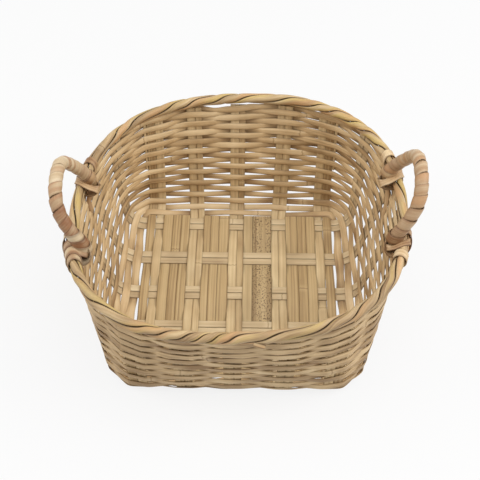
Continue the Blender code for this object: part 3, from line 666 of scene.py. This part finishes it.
def weaver_strip(row, tone, seed):
    """One row, in front of one upright and behind the next, closed round the basket."""
    lower, upper = row_climb(row - 0.5), row_climb(row + 0.5)
    climb, reach = (lower + upper) / 2, (upper - lower) / 2
    points, ups, outs, levels, spacings, corners = [], [], [], [], [], []
    passed = 0
    for wall, number, half, corner_side in uprights():
        drop = SIDE_DROP * max(0.0, 1.0 - row / SIDE_DROP_ROWS)
        drop *= 0.5 if number is None else float(wall in ("left", "right"))
        span = min(reach, climb - drop)
        middle, up, wide, out, spacing = crossing(wall, number, climb - drop, span)
        if number is None:
            corners.append(len(points))
            steps = ((0.0, 0.0),)
        else:
            side = -1 if (passed + row) % 2 == 0 else 1
            passed += 1
            reaches = [half + TURN_ALLOWANCE] * 2
            if corner_side and row >= CORNER_FIRST_ROW:
                reaches[0 if corner_side < 0 else 1] += CORNER_SPLIT + float(corner_width(climb))
            steps = ((-reaches[0], side), (reaches[1], side))
        for sideways, level in steps:
            points.append(middle + wide * sideways + out * level * WALL_OFFSET)
            ups.append(up)
            outs.append(out)
            levels.append(level)
            spacings.append(spacing * reach / span)
    bulge = CORNER_BULGE * max(0.0, 1.0 - row / CORNER_BULGE_ROWS)
    for index in corners:
        chord = (points[index - 1] + points[(index + 1) % len(points)]) / 2
        points[index] = chord + (points[index] - chord) * max(bulge, LEAST_BULGE)
    table = np.column_stack([points, ups, outs, levels, spacings])
    table = np.vstack([table, table[:1]])
    lengths = lengths_along(table[:, :3])
    count = int(lengths[-1] / WEAVER_STEP)
    table = soften(read_at(np.arange(count) * lengths[-1] / count, lengths, table), 3)
    points, up, out = table[:, :3], unit(table[:, 3:6]), unit(table[:, 6:9])
    level, spacing = table[:, 9:].T
    angles = np.arctan2(points[:, 1], points[:, 0])
    points = points + up * wander(angles, row)[:, None]
    runs = loop_runs(points)
    lean = ROW_LEAN * min(1.0, 0.2 + row / 4) * sway(count, seed + 5.0, (5, 11, 17))
    wide = square_to(up + out * lean[:, None], runs)
    full = np.interp(row, WIDTH_ROWS, ROW_WIDTHS)
    radius = np.hypot(points[:, 0], points[:, 1])
    towards_viewer = ease(-1.6 * points[:, 1] / radius)
    sideways = ease(2.2 * np.abs(points[:, 0]) / radius - 1.1)
    low_share = max(0.0, 1.0 - row / SIDE_DROP_ROWS)
    full = full + LOW_ROW_WIDENING * low_share * np.maximum(towards_viewer, 1.4 * sideways)
    points = points + up * (FRONT_TUCK * low_share ** 3 * towards_viewer)[:, None]
    full = full + FRONT_WIDENING * (1.0 - 0.5 * row / ROW_COUNT) * towards_viewer
    overlap = LEAST_OVERLAP + TOP_OVERLAP * ease((row - 9) / 4) + FRONT_OVERLAP * towards_viewer
    squeezed = np.minimum(full, spacing + overlap)
    width = squeezed + (full - squeezed) * np.clip(np.abs(level) * 1.6 - 0.35, 0.0, 1.0)
    width = width * (1.0 + 0.025 * sway(count, seed + 9.0, (7, 13, 29)))
    # Painted shade: the face that lies against an upright, or behind it, is darkened as if in its
    # shadow, more in the rows near the rim, and the outer face is a little darker all round
    rises = np.array([rise for _, rise, _, _ in strip_section(0.0028)])
    shaded_by_upright = np.maximum(np.where(rises < 0, level[:, None], -level[:, None]), 0.0)
    depth = 0.24 + 0.20 * ease((row - 10) / 4)
    tones = ((tone + 0.16 * sway(count, seed, (2, 7, 15)))[:, None] - depth * shaded_by_upright
             - 0.16 * (rises > 0))
    return Strip(points, wide, np.cross(runs, wide), width / 2, WEAVER_THICKNESS, closed=True,
                 tone=tones, seed=seed)


weaver_tones = random.Random(11)
for row in range(ROW_COUNT):
    strip = weaver_strip(row, weaver_tones.uniform(0.36, 0.64), weaver_tones.uniform(0, 20))
    place(f"weaver_strip_{row + 1:02d}", [strip], weaver_finish, "weaver_bamboo",
          f"weaver_row_{row + 1:02d}")


# Rim: three strands of yellow cane, each of three flat strips, twisted round each other by hand
# into a rope over the stake ends. The twist is tighter in some places than in others.

# Shares of the rim's length, from the right side round the back, at which a seam faces the viewer
ROPE_SEAMS = (0.0243, 0.0793, 0.1056, 0.1234, 0.1501, 0.1692, 0.2054, 0.2477, 0.2703, 0.3012,
              0.3245, 0.3694, 0.3911, 0.4475, 0.5039, 0.5603, 0.5856, 0.6208, 0.6695, 0.6901,
              0.7095, 0.7223, 0.7349, 0.7491, 0.7817, 0.8288, 0.8582, 0.8851, 0.9142, 0.9692)
ROPE_STEPS = 640
# How much faster than elsewhere the twist goes round at a seam
ROPE_SNAP = 0.75


def rim_frame(angles):
    """Centre of the rope and the directions outward and upward across it."""
    angles = np.asarray(angles, float)
    centre = wall_point(WALL_LENGTH, angles)
    run = ring_run(WALL_LENGTH, angles)
    outward = unit(np.cross(run, (0.0, 0.0, 1.0)))
    return centre, outward, unit(np.cross(outward, run))


def even_rim_angles(count):
    """Plan angles that divide the rim into equal lengths."""
    fine = np.linspace(0.0, 2 * math.pi, 6001)
    lengths = lengths_along(wall_point(WALL_LENGTH, fine))
    return np.interp(np.arange(count) * lengths[-1] / count, lengths, fine)


def strand_section(offsets):
    """A strand's outline: three flat strips side by side on its outer face."""
    # The last value of each point is how strongly it is darkened: the seams between the strands and
    # between the flat strips, partly the cane's own dark edges and partly painted shade in the crevices
    outline = ((-55, 0.52, 1.0), (-55, 0.69, 1.0), (-52, 0.79, 0.85), (-45, 0.90, 0.25),
               (-30, 0.985, 0.0), (-22, 1.01, 0.0), (-19, 0.995, 0.6), (-16, 1.025, 0.0),
               (-6, 1.045, 0.0), (6, 1.045, 0.0), (16, 1.03, 0.0), (19, 1.0, 0.6),
               (22, 1.015, 0.0), (30, 0.99, 0.0), (45, 0.90, 0.25), (52, 0.79, 0.85),
               (55, 0.69, 1.0), (55, 0.52, 1.0), (25, 0.40, 1.0), (-25, 0.40, 1.0))
    section, shifts = [], []
    for degrees, radius, edge in outline:
        turn = math.radians(degrees)
        section.append((radius * math.sin(turn), radius * math.cos(turn), turn, edge))
        shifts.append(offsets[0] if degrees < -19 else offsets[1] if degrees < 19 else offsets[2])
    return section, np.array(shifts)


rim_finish = bamboo("rim_finish", (130, 102, 71), (175, 148, 109), (201, 177, 137),
                    streak=0.45, streaks=520.0, patches=0.6, grey=0.35, edge_wear_and_shade=0.92,
                    edge_from=0.30, node_gap=0.47, gloss=0.42,
                    blush=((191, 164, 99), (188, 147, 102)))

rim_angles = even_rim_angles(ROPE_STEPS)
rim_centres, rim_outs, rim_ups = rim_frame(rim_angles)
seam_angles = np.interp(ROPE_SEAMS, np.arange(ROPE_STEPS) / ROPE_STEPS, rim_angles)
seam_turns = (np.radians(98.0 + 43.0 * np.sin(seam_angles) - 60.0)
              + np.arange(len(ROPE_SEAMS)) * 2 * math.pi / 3)
whole_twist = len(ROPE_SEAMS) * 2 * math.pi / 3
seam_places = np.array(ROPE_SEAMS)
seam_numbers = np.arange(3 * len(ROPE_SEAMS))
seam_at = np.interp(np.arange(-20, ROPE_STEPS + 20) / ROPE_STEPS,
                    np.concatenate([seam_places - 1, seam_places, seam_places + 1]), seam_numbers)
seam_at += ROPE_SNAP * np.sin(2 * math.pi * seam_at) / (2 * math.pi)
twists = np.interp(seam_at, seam_numbers, np.concatenate(
    [seam_turns - whole_twist, seam_turns, seam_turns + whole_twist]))
for _ in range(5):
    twists[1:-1] = (twists[:-2] + 2 * twists[1:-1] + twists[2:]) / 4
twists = twists[20:-20]

# The end of one strip stands out under the front of the rope, at this plan angle
STUB_ANGLE = -1.465
stub_centre, stub_out, stub_up = (vectors[0] for vectors in rim_frame([STUB_ANGLE]))
stub_run = np.cross(stub_up, stub_out)
stub_share = np.linspace(0.0, 1.0, 8)[:, None]
stub_points = (stub_centre + stub_out * 0.0040 - stub_up * 0.0022
               + stub_share * (stub_run * 0.0085 + stub_out * 0.0020 - stub_up * 0.0022))
stub_line = np.tile(unit(stub_points[-1] - stub_points[0]), (8, 1))
stub_face = square_to(np.tile(stub_out + 0.6 * stub_up, (8, 1)), stub_line)
stub = Strip(stub_points, np.cross(stub_line, stub_face), stub_face, 0.0018, 0.0013, tone=0.95,
             seed=39.0)

for strand in range(3):
    turns = twists + strand * 2 * math.pi / 3
    face = rim_outs * np.cos(turns)[:, None] + rim_ups * np.sin(turns)[:, None]
    wide = rim_ups * np.cos(turns)[:, None] - rim_outs * np.sin(turns)[:, None]
    section, shifts = strand_section(((-0.10, 0.08, -0.02), (0.10, -0.06, 0.04),
                                      (-0.04, 0.12, -0.10))[strand])
    radii = ROPE_RADIUS * (1.0 + 0.055 * sway(ROPE_STEPS, 40.0 + strand, (9, 16, 23)))
    tones = (0.50 + 0.22 * sway(ROPE_STEPS, 50.0 + strand, (8, 13, 19)))[:, None] + shifts
    strips = [Strip(rim_centres, wide, face, radii, radii, closed=True, tone=tones,
                    seed=31.0 + strand, section=section)]
    if strand == 0:
        strips.append(stub)
    place(f"rim_strand_strips_{strand + 1}", strips, rim_finish, "rim_cane",
          f"rim_strand_{strand + 1}")


# Handle rods: round cane bent to a loop. Their ends are pointed and stand inside the rim, behind
# the rope. The wraps and lashings hide all but the tips.

HANDLE_CENTRE_Y, HANDLE_HALF_SPAN, HANDLE_RISE = -0.003, 0.038, 0.049
HANDLE_OVERHANG, HANDLE_TAIL, HANDLE_LEAN = 0.0085, 0.012, 0.8
ROD_RADIUS, ROD_RIM_GAP, ROD_POINT = 0.0040, 0.0006, 0.006


def rim_angle_at(side, y_place):
    """Plan angle of the rim at this place along the left or right side."""
    half_x, half_y, power, _ = plan(WALL_LENGTH)
    x_place = half_x * (1.0 - np.abs(y_place / half_y) ** power) ** (1.0 / power)
    return np.arctan2(y_place, side * x_place)


def foot_point(side, end):
    """Centre of the rod where it passes inside the rope, at the far or near end."""
    y_place = HANDLE_CENTRE_Y + end * HANDLE_HALF_SPAN
    centre = wall_point(WALL_LENGTH, rim_angle_at(side, y_place))
    return centre - np.array([side * (ROPE_RADIUS + ROD_RIM_GAP + ROD_RADIUS), 0.0, 0.0])


def handle_path(side, steps=80, tail_steps=6):
    """Centre points of the rod, from the near tail over the arch to the far tail."""
    near, far = foot_point(side, -1), foot_point(side, 1)
    turns = np.linspace(0.0, math.pi, steps + 1)
    points = near + (far - near) * ((1.0 - np.cos(turns)) / 2)[:, None]
    points[:, 2] += HANDLE_RISE * np.sin(turns)
    lean = (1.0 - np.cos(math.pi * np.sin(turns).clip(0.0) ** HANDLE_LEAN)) / 2
    points[:, 0] += side * (RIM_HALF_X + HANDLE_OVERHANG - np.abs(points[:, 0])) * lean
    drops = row_of_points(0.0, 0.0, np.arange(tail_steps, 0, -1) * HANDLE_TAIL / tail_steps)
    return np.vstack([near - drops, points, far - drops[::-1]])


def path_frames(points, side):
    """Length so far, run and two crosswise directions at each point of a handle's path."""
    lengths = lengths_along(points)
    runs = unit(np.gradient(points, lengths, axis=0))
    first = square_to(np.tile([side, 0.0, 0.0], (len(points), 1)), runs)
    return lengths, runs, first, np.cross(runs, first)


ROD_SECTION = [(math.sin(turn), math.cos(turn), turn, 0.0)
               for turn in np.arange(16) * 2 * math.pi / 16]
rod_finish = bamboo("rod_finish", (112, 84, 56), (158, 126, 88), (186, 154, 112),
                    streak=0.5, streaks=500.0, grey=0.4)
for hand, side in (("left", -1), ("right", 1)):
    points = handle_path(side)
    lengths, runs, first, second = path_frames(points, side)
    from_tip = np.minimum(lengths, lengths[-1] - lengths)
    radii = ROD_RADIUS * (0.45 + 0.55 * ease(from_tip / ROD_POINT))
    rod = Strip(points, second, first, radii, radii, section=ROD_SECTION, seed=61.0 + side)
    place(f"handle_cane_{hand}", [rod], rod_finish, "handle_rod_cane", f"handle_rod_{hand}")


# Handle wraps: a flat strip of cane wound tightly round each rod from foot to foot. Each turn
# lies a little over the one before, so the loop looks like a row of short sausages.

WRAP_THICKNESS, WRAP_LIFT, WRAP_CLEAR = 0.0009, 0.0007, 0.0062
WRAP_TURNS, WRAP_STEPS = 14, 26
# Half the strip's width as a share of a turn's length, and how far it leans over the turn before
WRAP_LAP, WRAP_LEAN = 0.545, 0.075
# The last value is how strongly the strip's edges are darkened, partly their own darker edge and partly
# painted shade where one turn lies over the next
WRAP_SECTION = [(across, rise, across, edge) for across, rise, edge in (
    (-0.94, -0.50, 0.9), (0.0, -0.30, 0.5), (0.94, -0.50, 0.9), (1.0, -0.15, 1.0),
    (1.0, 0.15, 1.0), (0.90, 0.52, 0.5), (0.68, 0.80, 0.0), (0.35, 0.98, 0.0), (0.0, 1.04, 0.0),
    (-0.35, 0.98, 0.0), (-0.68, 0.80, 0.0), (-0.90, 0.52, 0.5), (-1.0, 0.15, 1.0),
    (-1.0, -0.15, 1.0))]


def wrap_strip(side, tones, seed):
    """The wound strip of one handle."""
    points = handle_path(side)
    lengths, runs, first, second = path_frames(points, side)
    start = HANDLE_TAIL + WRAP_CLEAR
    end = lengths[-1] - start
    steps = WRAP_TURNS * WRAP_STEPS
    share = np.arange(steps + 1) / steps
    uneven = share + 0.012 * np.sin(2 * math.pi * share * 3 + seed) * np.sin(math.pi * share)
    at = start + (end - start) * uneven
    turn = 2 * math.pi * share * WRAP_TURNS
    centre, *turned = (read_at(at, lengths, table) for table in (points, runs, first, second))
    run, out, cross = (unit(table) for table in turned)
    radial = out * np.cos(turn)[:, None] + cross * np.sin(turn)[:, None]
    pitch = (end - start) / WRAP_TURNS
    middle = centre + radial * (ROD_RADIUS + WRAP_LIFT)
    helix = unit(np.gradient(middle, axis=0))
    wide = square_to(run + radial * WRAP_LEAN, helix)
    face = np.cross(helix, wide)
    face = face * np.sign(np.sum(face * radial, axis=1))[:, None]
    half = pitch * WRAP_LAP * (1.0 + 0.03 * sway(steps + 1, seed, (5, 9, 14)))
    tone = np.interp(share * WRAP_TURNS, np.linspace(0, WRAP_TURNS, len(tones)), tones)
    return Strip(middle, wide, face, half, WRAP_THICKNESS, tone=tone, seed=seed,
                 section=WRAP_SECTION)


wrap_finish = bamboo("wrap_finish", (129, 92, 62), (167, 136, 103), (194, 172, 140),
                     streak=0.45, streaks=330.0, patches=0.9, grey=0.1, edge_wear_and_shade=0.70,
                     edge_from=0.25, node_gap=0.6, gloss=0.45, blush=((176, 134, 94),))
# The left one has kept brown patches of its bark
blotched_finish = bamboo("blotched_finish", (137, 96, 66), (186, 162, 128), (210, 193, 163),
                         streak=0.3, patches=1.0, grey=0.05, edge_wear_and_shade=0.62, edge_from=0.25,
                         node_gap=0.6, gloss=0.5, blush=((158, 114, 80),))
WRAPS = (("left", -1, blotched_finish, (0.20, 0.15, 0.22, 0.20, 0.40, 0.62, 0.62, 0.70, 0.72, 0.70,
                                        0.55, 0.35, 0.25)),
         ("right", 1, wrap_finish, (0.35, 0.40, 0.50, 0.42, 0.52, 0.58, 0.70, 0.78, 0.80, 0.66,
                                    0.55, 0.45, 0.40)))
for hand, side, finish, tones in WRAPS:
    place(f"handle_winding_{hand}", [wrap_strip(side, tones, 71.0 + side)], finish,
          "handle_wrap_cane", f"handle_wrap_{hand}")


# Foot lashings: strips of brown cane that bind each handle foot to the rope. They cross over the
# rod on the basket's inside, and their ends are pushed down into the weave.

ROD_FROM_ROPE = ROPE_RADIUS + ROD_RIM_GAP + ROD_RADIUS
LASH_CROSSING = ROD_RADIUS + STRIP_GAP + TURN_ALLOWANCE + LASH_WIDTH / 2
LEG_BAND_LIFT, SLEEVE_STEP = 0.0017, 0.0006
# Where a tucked end starts below the rope's centre, and how far inside the wall it starts
TAIL_START, TAIL_INSET = 0.0035, 0.0058
lash_finish = bamboo("lash_finish", (128, 92, 60), (178, 146, 108), (208, 184, 146),
                     streak=0.5, streaks=420.0, patches=0.6, grey=0.15, edge_wear_and_shade=0.6,
                     edge_from=0.72, node_gap=0.5, gloss=0.45)

LOOP_STEPS, LEG_STEPS, ROPE_BAND_STEPS, TAIL_STEPS = 72, 48, 40, 24
# Path of a loop, from the outside of the rope over its top, round the inside of the rod and back
# under the rope: out from the rope's centre and up, in millimetres, and between them the share of
# the crossing along the rim
LOOP_PATH = ((5.8, 0.15, 0.0), (4.3, 0.80, 4.2), (0.0, 1.0, 5.9), (-4.6, 1.0, 4.9),
             (-9.6, 0.90, 2.6), (-13.9, 0.45, 0.2), (-14.5, 0.0, -1.8), (-13.9, -0.45, -3.8),
             (-9.6, -0.90, -5.6), (-4.2, -1.0, -6.3), (0.0, -1.0, -6.0), (4.3, -0.70, -4.2))


def bound_ring(points, facing, width, tone, seed, drift=0.15, waves=(1, 2, 4)):
    """A closed strip through these points whose outer face looks along facing."""
    runs = loop_runs(points)
    face = square_to(facing, runs)
    return Strip(points, np.cross(runs, face), face, width / 2, LASH_THICKNESS, closed=True,
                 tone=tone + drift * sway(len(points), seed, waves), seed=seed)


def bound_loop(side, y_place, slant, skew, proud, lift, width, tone, seed):
    """A strip bound once round the rope and the rod beside it.

    slant is how far it leans along the rim between its top and its bottom, skew how far between
    its outside and its inside, and proud how far it lies outside the strips below it.
    """
    path = np.array(LOOP_PATH + LOOP_PATH[:1]) * (0.001, 1.0, 0.001)
    at = np.arange(LOOP_STEPS) * len(LOOP_PATH) / LOOP_STEPS
    path = soften(read_at(at, np.arange(len(path)), path), 8)
    out, high = path[:, 0], path[:, 2]
    along = path[:, 1] * slant + skew * (out / 0.010 + 0.45)
    centre_out = np.clip(out, -ROD_FROM_ROPE, 0.0)
    facing = unit(np.column_stack([out - centre_out, high]))
    out, high = out + facing[:, 0] * proud, high + facing[:, 1] * proud + lift
    base = wall_point(WALL_LENGTH, rim_angle_at(side, y_place + along))
    foot_x = wall_point(WALL_LENGTH, rim_angle_at(side, y_place))[0]
    rope_share = ease(1.0 + out / ROD_FROM_ROPE)
    base[:, 0] = foot_x + (base[:, 0] - foot_x) * rope_share
    facing = row_of_points(side * facing[:, 0], 0.0, facing[:, 1])
    return bound_ring(base + row_of_points(side * out, 0.0, high), facing, width, tone, seed,
                      0.12, (1, 2, 5))


def tucked_end(side, y_top, y_bottom, length, width, tone, seed):
    """The end of a lashing, from the rope down the inside of the wall, where it goes in."""
    share = np.linspace(0.0, 1.0, TAIL_STEPS)
    climb = WALL_LENGTH - TAIL_START - length * share
    angles = rim_angle_at(side, y_top + (y_bottom - y_top) * share)
    points = wall_point(climb, angles)
    outward = row_of_points(np.cos(angles), np.sin(angles), 0.0)
    inset = TAIL_INSET - 0.0040 * ease(share * 1.6) - 0.0016 * ease((share - 0.8) / 0.2)
    points = points - outward * inset[:, None]
    runs = unit(np.gradient(points, axis=0))
    face = square_to(-outward - np.array([0.0, 0.9, 0.0]), runs)
    return Strip(points, np.cross(runs, face), face, width / 2 * (1.0 - 0.25 * share),
                 LASH_THICKNESS, tone=tone, seed=seed)


def leg_band(side, end, from_tip, tilt, proud, width, tone, seed):
    """A strip wound once round a handle's leg above the rope."""
    points = handle_path(side)
    lengths, _, first, second = path_frames(points, side)
    turns = np.arange(LEG_STEPS) * 2 * math.pi / LEG_STEPS
    at = from_tip + tilt * np.cos(turns)
    at = at if end < 0 else lengths[-1] - at
    centre, out, cross = (read_at(at, lengths, table) for table in (points, first, second))
    radial = unit(out) * np.cos(turns)[:, None] + unit(cross) * np.sin(turns)[:, None]
    return bound_ring(centre + radial * (ROD_RADIUS + LEG_BAND_LIFT + proud), radial, width, tone,
                      seed)


def rope_band(side, end, width, shift, tone, seed, slant, proud=0.0):
    """A strip wound once round the rope beside a handle's foot."""
    next_to_corner = BAND_SHARES[-2] if end > 0 else -BAND_SHARES[1]
    stake_edge = next_to_corner * BAND_HEAD + BAND_WIDTH / 2
    foot_edge = end * HANDLE_CENTRE_Y + HANDLE_HALF_SPAN + LASH_CROSSING + LASH_WIDTH / 2
    y_place = end * (max(stake_edge, foot_edge) + LASH_GAP + LASH_WIDTH / 2 + shift)
    turns = np.linspace(0.0, 2 * math.pi, ROPE_BAND_STEPS, endpoint=False)
    angles = rim_angle_at(side, y_place + slant * np.sin(turns))
    centre, outward, upward = rim_frame(angles)
    facing = outward * np.cos(turns)[:, None] + upward * np.sin(turns)[:, None]
    points = centre + facing * (ROPE_RADIUS + STRIP_GAP + LASH_THICKNESS / 2 + proud)
    return bound_ring(points, facing, width, tone, seed)


# The two loops of each foot: slant, skew, how proud each lies, lift and width, all in millimetres,
# and tone
FOOT_LOOPS = {
    ("left", "near"): ((7.4, 3.0, 0.0, 0.0, 7.0, 0.35), (-7.4, 6.0, 1.2, 0.4, 9.5, 0.70)),
    ("left", "far"): ((7.4, 3.0, 0.0, 0.0, 5.4, 0.34), (-7.4, 5.0, 0.5, 0.0, 7.0, 0.40)),
    ("right", "near"): ((7.4, 3.0, 0.0, 0.0, 5.6, 0.34), (-7.4, 3.0, 0.6, 0.0, 7.2, 0.20)),
    ("right", "far"): ((7.4, 3.0, 0.0, 0.0, 5.6, 0.50), (-7.4, 6.0, 0.6, 0.0, 7.6, 0.68)),
}
# Bands round the legs: distance from the rod's tip, tilt, how proud and width, all in millimetres,
# and tone
LEG_BANDS = {
    ("left", "near"): ((15.0, 2.5, 1.0, 7.5, 0.62), (21.0, 2.5, 0.6, 8.0, 0.06),
                       (27.5, 2.0, 0.1, 7.5, 0.74)),
    ("left", "far"): ((20.0, -2.0, 0.0, 6.0, 0.30),),
    ("right", "near"): ((19.5, 2.0, 0.4, 7.5, 0.14),),
    ("right", "far"): ((20.0, 2.0, 0.0, 6.5, 0.50),),
}
# Places of tucked ends from the foot's middle, towards the far side: top, bottom, length down the
# wall, width and tone
FOOT_ENDS = {
    ("left", "near"): ((0.004, -0.006, 0.024, 0.0050, 0.55),),
    ("left", "far"): ((-0.004, -0.010, 0.026, 0.0052, 0.22), (0.002, -0.002, 0.018, 0.0050, 0.30)),
    ("right", "near"): ((-0.004, -0.010, 0.020, 0.0050, 0.35),),
    ("right", "far"): ((0.006, -0.004, 0.026, 0.0050, 0.42), (0.000, -0.012, 0.036, 0.0048, 0.60)),
}
# Bands round the rope below the near left foot, which is bound like a sleeve: shift towards the
# front, width, tone and slant
FOOT_SLEEVE = ((-0.0125, 0.0085, 0.16, 0.0030), (-0.0048, 0.0100, 0.72, 0.0040),
               (0.0022, 0.0070, 0.50, 0.0035))
for (hand, end_name), loops in FOOT_LOOPS.items():
    side, end = (-1 if hand == "left" else 1), (-1 if end_name == "near" else 1)
    foot_y, foot_seed = HANDLE_CENTRE_Y + end * HANDLE_HALF_SPAN, 3 * side + 7 * end
    strips = []
    for number, (*sizes, tone) in enumerate(loops):
        slant, *others = (size / 1000 for size in sizes)
        strips.append(bound_loop(side, foot_y, end * slant, *others, tone,
                                 81.0 + number + foot_seed))
    for number, (*sizes, tone) in enumerate(LEG_BANDS[hand, end_name]):
        strips.append(leg_band(side, end, *(size / 1000 for size in sizes), tone,
                               121.0 + number + foot_seed))
    for number, (top, bottom, *sizes) in enumerate(FOOT_ENDS[hand, end_name]):
        strips.append(tucked_end(side, foot_y + top, foot_y + bottom, *sizes,
                                 95.0 + number + foot_seed))
    finish = lash_finish
    if (hand, end_name) == ("left", "near"):
        finish = blotched_finish
        for number, (shift, width, tone, slant) in enumerate(FOOT_SLEEVE):
            strips.append(rope_band(side, end, width, shift, tone, 131.0 + number, slant,
                                    SLEEVE_STEP * (2 - number)))
    place(f"foot_binding_{hand}_{end_name}", strips, finish, "lashing_cane",
          f"foot_lashing_{hand}_{end_name}")


# Rim bands: short bindings of paler strip round the rope alone, beside three of the feet. The end
# of each is pushed down into the weave.

# Side, end, width, shift, tone and slant of the band, and for its tucked end the place of its top
# and bottom, its length, its width and its tone
RIM_BANDS = {
    "left_far": (-1, 1, 0.0072, 0.0012, 0.34, 0.0020, (-0.001, -0.005, 0.020, 0.0052, 0.45)),
    "right_far": (1, 1, 0.0080, 0.0016, 0.74, 0.0030, (-0.002, -0.010, 0.018, 0.0056, 0.34)),
    "right_near": (1, -1, 0.0080, 0.0016, 0.76, 0.0015, (0.003, -0.008, 0.022, 0.0050, 0.36)),
}
BAND_FROM_FOOT = 0.0120
for index, (name, (side, end, width, shift, tone, slant, tail)) in enumerate(RIM_BANDS.items()):
    y_band = end * (HANDLE_HALF_SPAN + BAND_FROM_FOOT + shift) + HANDLE_CENTRE_Y
    top, bottom, *sizes = tail
    strips = [rope_band(side, end, width, shift, tone, 101.0 + index, slant),
              tucked_end(side, y_band + top, y_band + bottom, *sizes, 105.0 + index)]
    place(f"rope_binding_{name}", strips, lash_finish, "lashing_cane", f"rim_band_{name}")


# Table, lamps and camera: a plain pale table lit evenly by one soft lamp overhead and one at each
# side, and seen from the photograph's place.

TABLE_GREY, TABLE_GLOW, SKY_LIGHT = 0.62, 0.84, 0.66


def seen_directly(finish):
    """1 for what the camera sees, itself or in gloss or glass, and 0 for what lights the basket."""
    rays = (finish.node("LightPath", output=f"Is {kind} Ray")
            for kind in ("Camera", "Glossy", "Transmission"))
    return finish.maths("MINIMUM", sum(rays), 1.0)


table_mesh = bpy.data.meshes.new("table")
table_mesh.from_pydata([(-3, -3, 0), (3, -3, 0), (3, 3, 0), (-3, 3, 0)], [], [(0, 1, 2, 3)])
table = bpy.data.objects.new("table", table_mesh)
bpy.context.scene.collection.objects.link(table)
table_finish = bpy.data.materials.new("table_finish")
table_finish.use_nodes = True
table_nodes = table_finish.node_tree
surface = Tint(table_nodes)
plain = surface.node("BsdfDiffuse", {}, {"Color": (TABLE_GREY, TABLE_GREY, TABLE_GREY, 1.0)})
glow = surface.node("Emission", {}, {"Color": (1.0, 1.0, 1.0, 1.0), "Strength": 1.0})
lit = surface.node("MixShader", {}, {0: seen_directly(surface) * TABLE_GLOW, 1: plain, 2: glow})
table_nodes.links.new(lit.socket, table_nodes.nodes["Material Output"].inputs["Surface"])
table_mesh.materials.append(table_finish)

world = bpy.data.worlds.new("studio")
bpy.context.scene.world = world
world.use_nodes = True
air = Tint(world.node_tree)
brightness = SKY_LIGHT + seen_directly(air) * (1.0 - SKY_LIGHT)
backdrop = world.node_tree.nodes["Background"]
world.node_tree.links.new(brightness.socket, backdrop.inputs["Strength"])
backdrop.inputs["Color"].default_value = (1.0, 1.0, 1.0, 1.0)

LAMP_AIM = Vector((0.0, 0.0, 0.05))
# Width across, power and place of each lamp
LAMPS = {"overhead": (1.1, 5.8, (0.15, -0.25, 1.40)),
         "right_side": (1.0, 14.0, (1.20, -0.10, 1.05)),
         "left_side": (1.0, 9.0, (-1.20, -0.10, 1.05))}
for name, (size, power, where) in LAMPS.items():
    light = bpy.data.lights.new(name, "AREA")
    light.shape, light.size, light.energy = "DISK", size, power
    holder = bpy.data.objects.new(name, light)
    bpy.context.scene.collection.objects.link(holder)
    holder.location = where
    holder.rotation_euler = (Vector(where) - LAMP_AIM).to_track_quat("Z", "Y").to_euler()

camera_data = bpy.data.cameras.new("camera")
camera_data.sensor_width = 36.0
camera_data.lens = 71.92
camera_data.clip_end = 20.0
camera = bpy.data.objects.new("camera", camera_data)
bpy.context.scene.collection.objects.link(camera)
camera.matrix_world = Matrix((
    (0.99987, -0.01340, 0.00909, 0.00998),
    (0.01603, 0.74097, -0.67135, -0.57075),
    (0.00226, 0.67141, 0.74108, 0.70438),
    (0.0, 0.0, 0.0, 1.0),
))
bpy.context.scene.camera = camera
bpy.context.scene.view_settings.view_transform = "Standard"
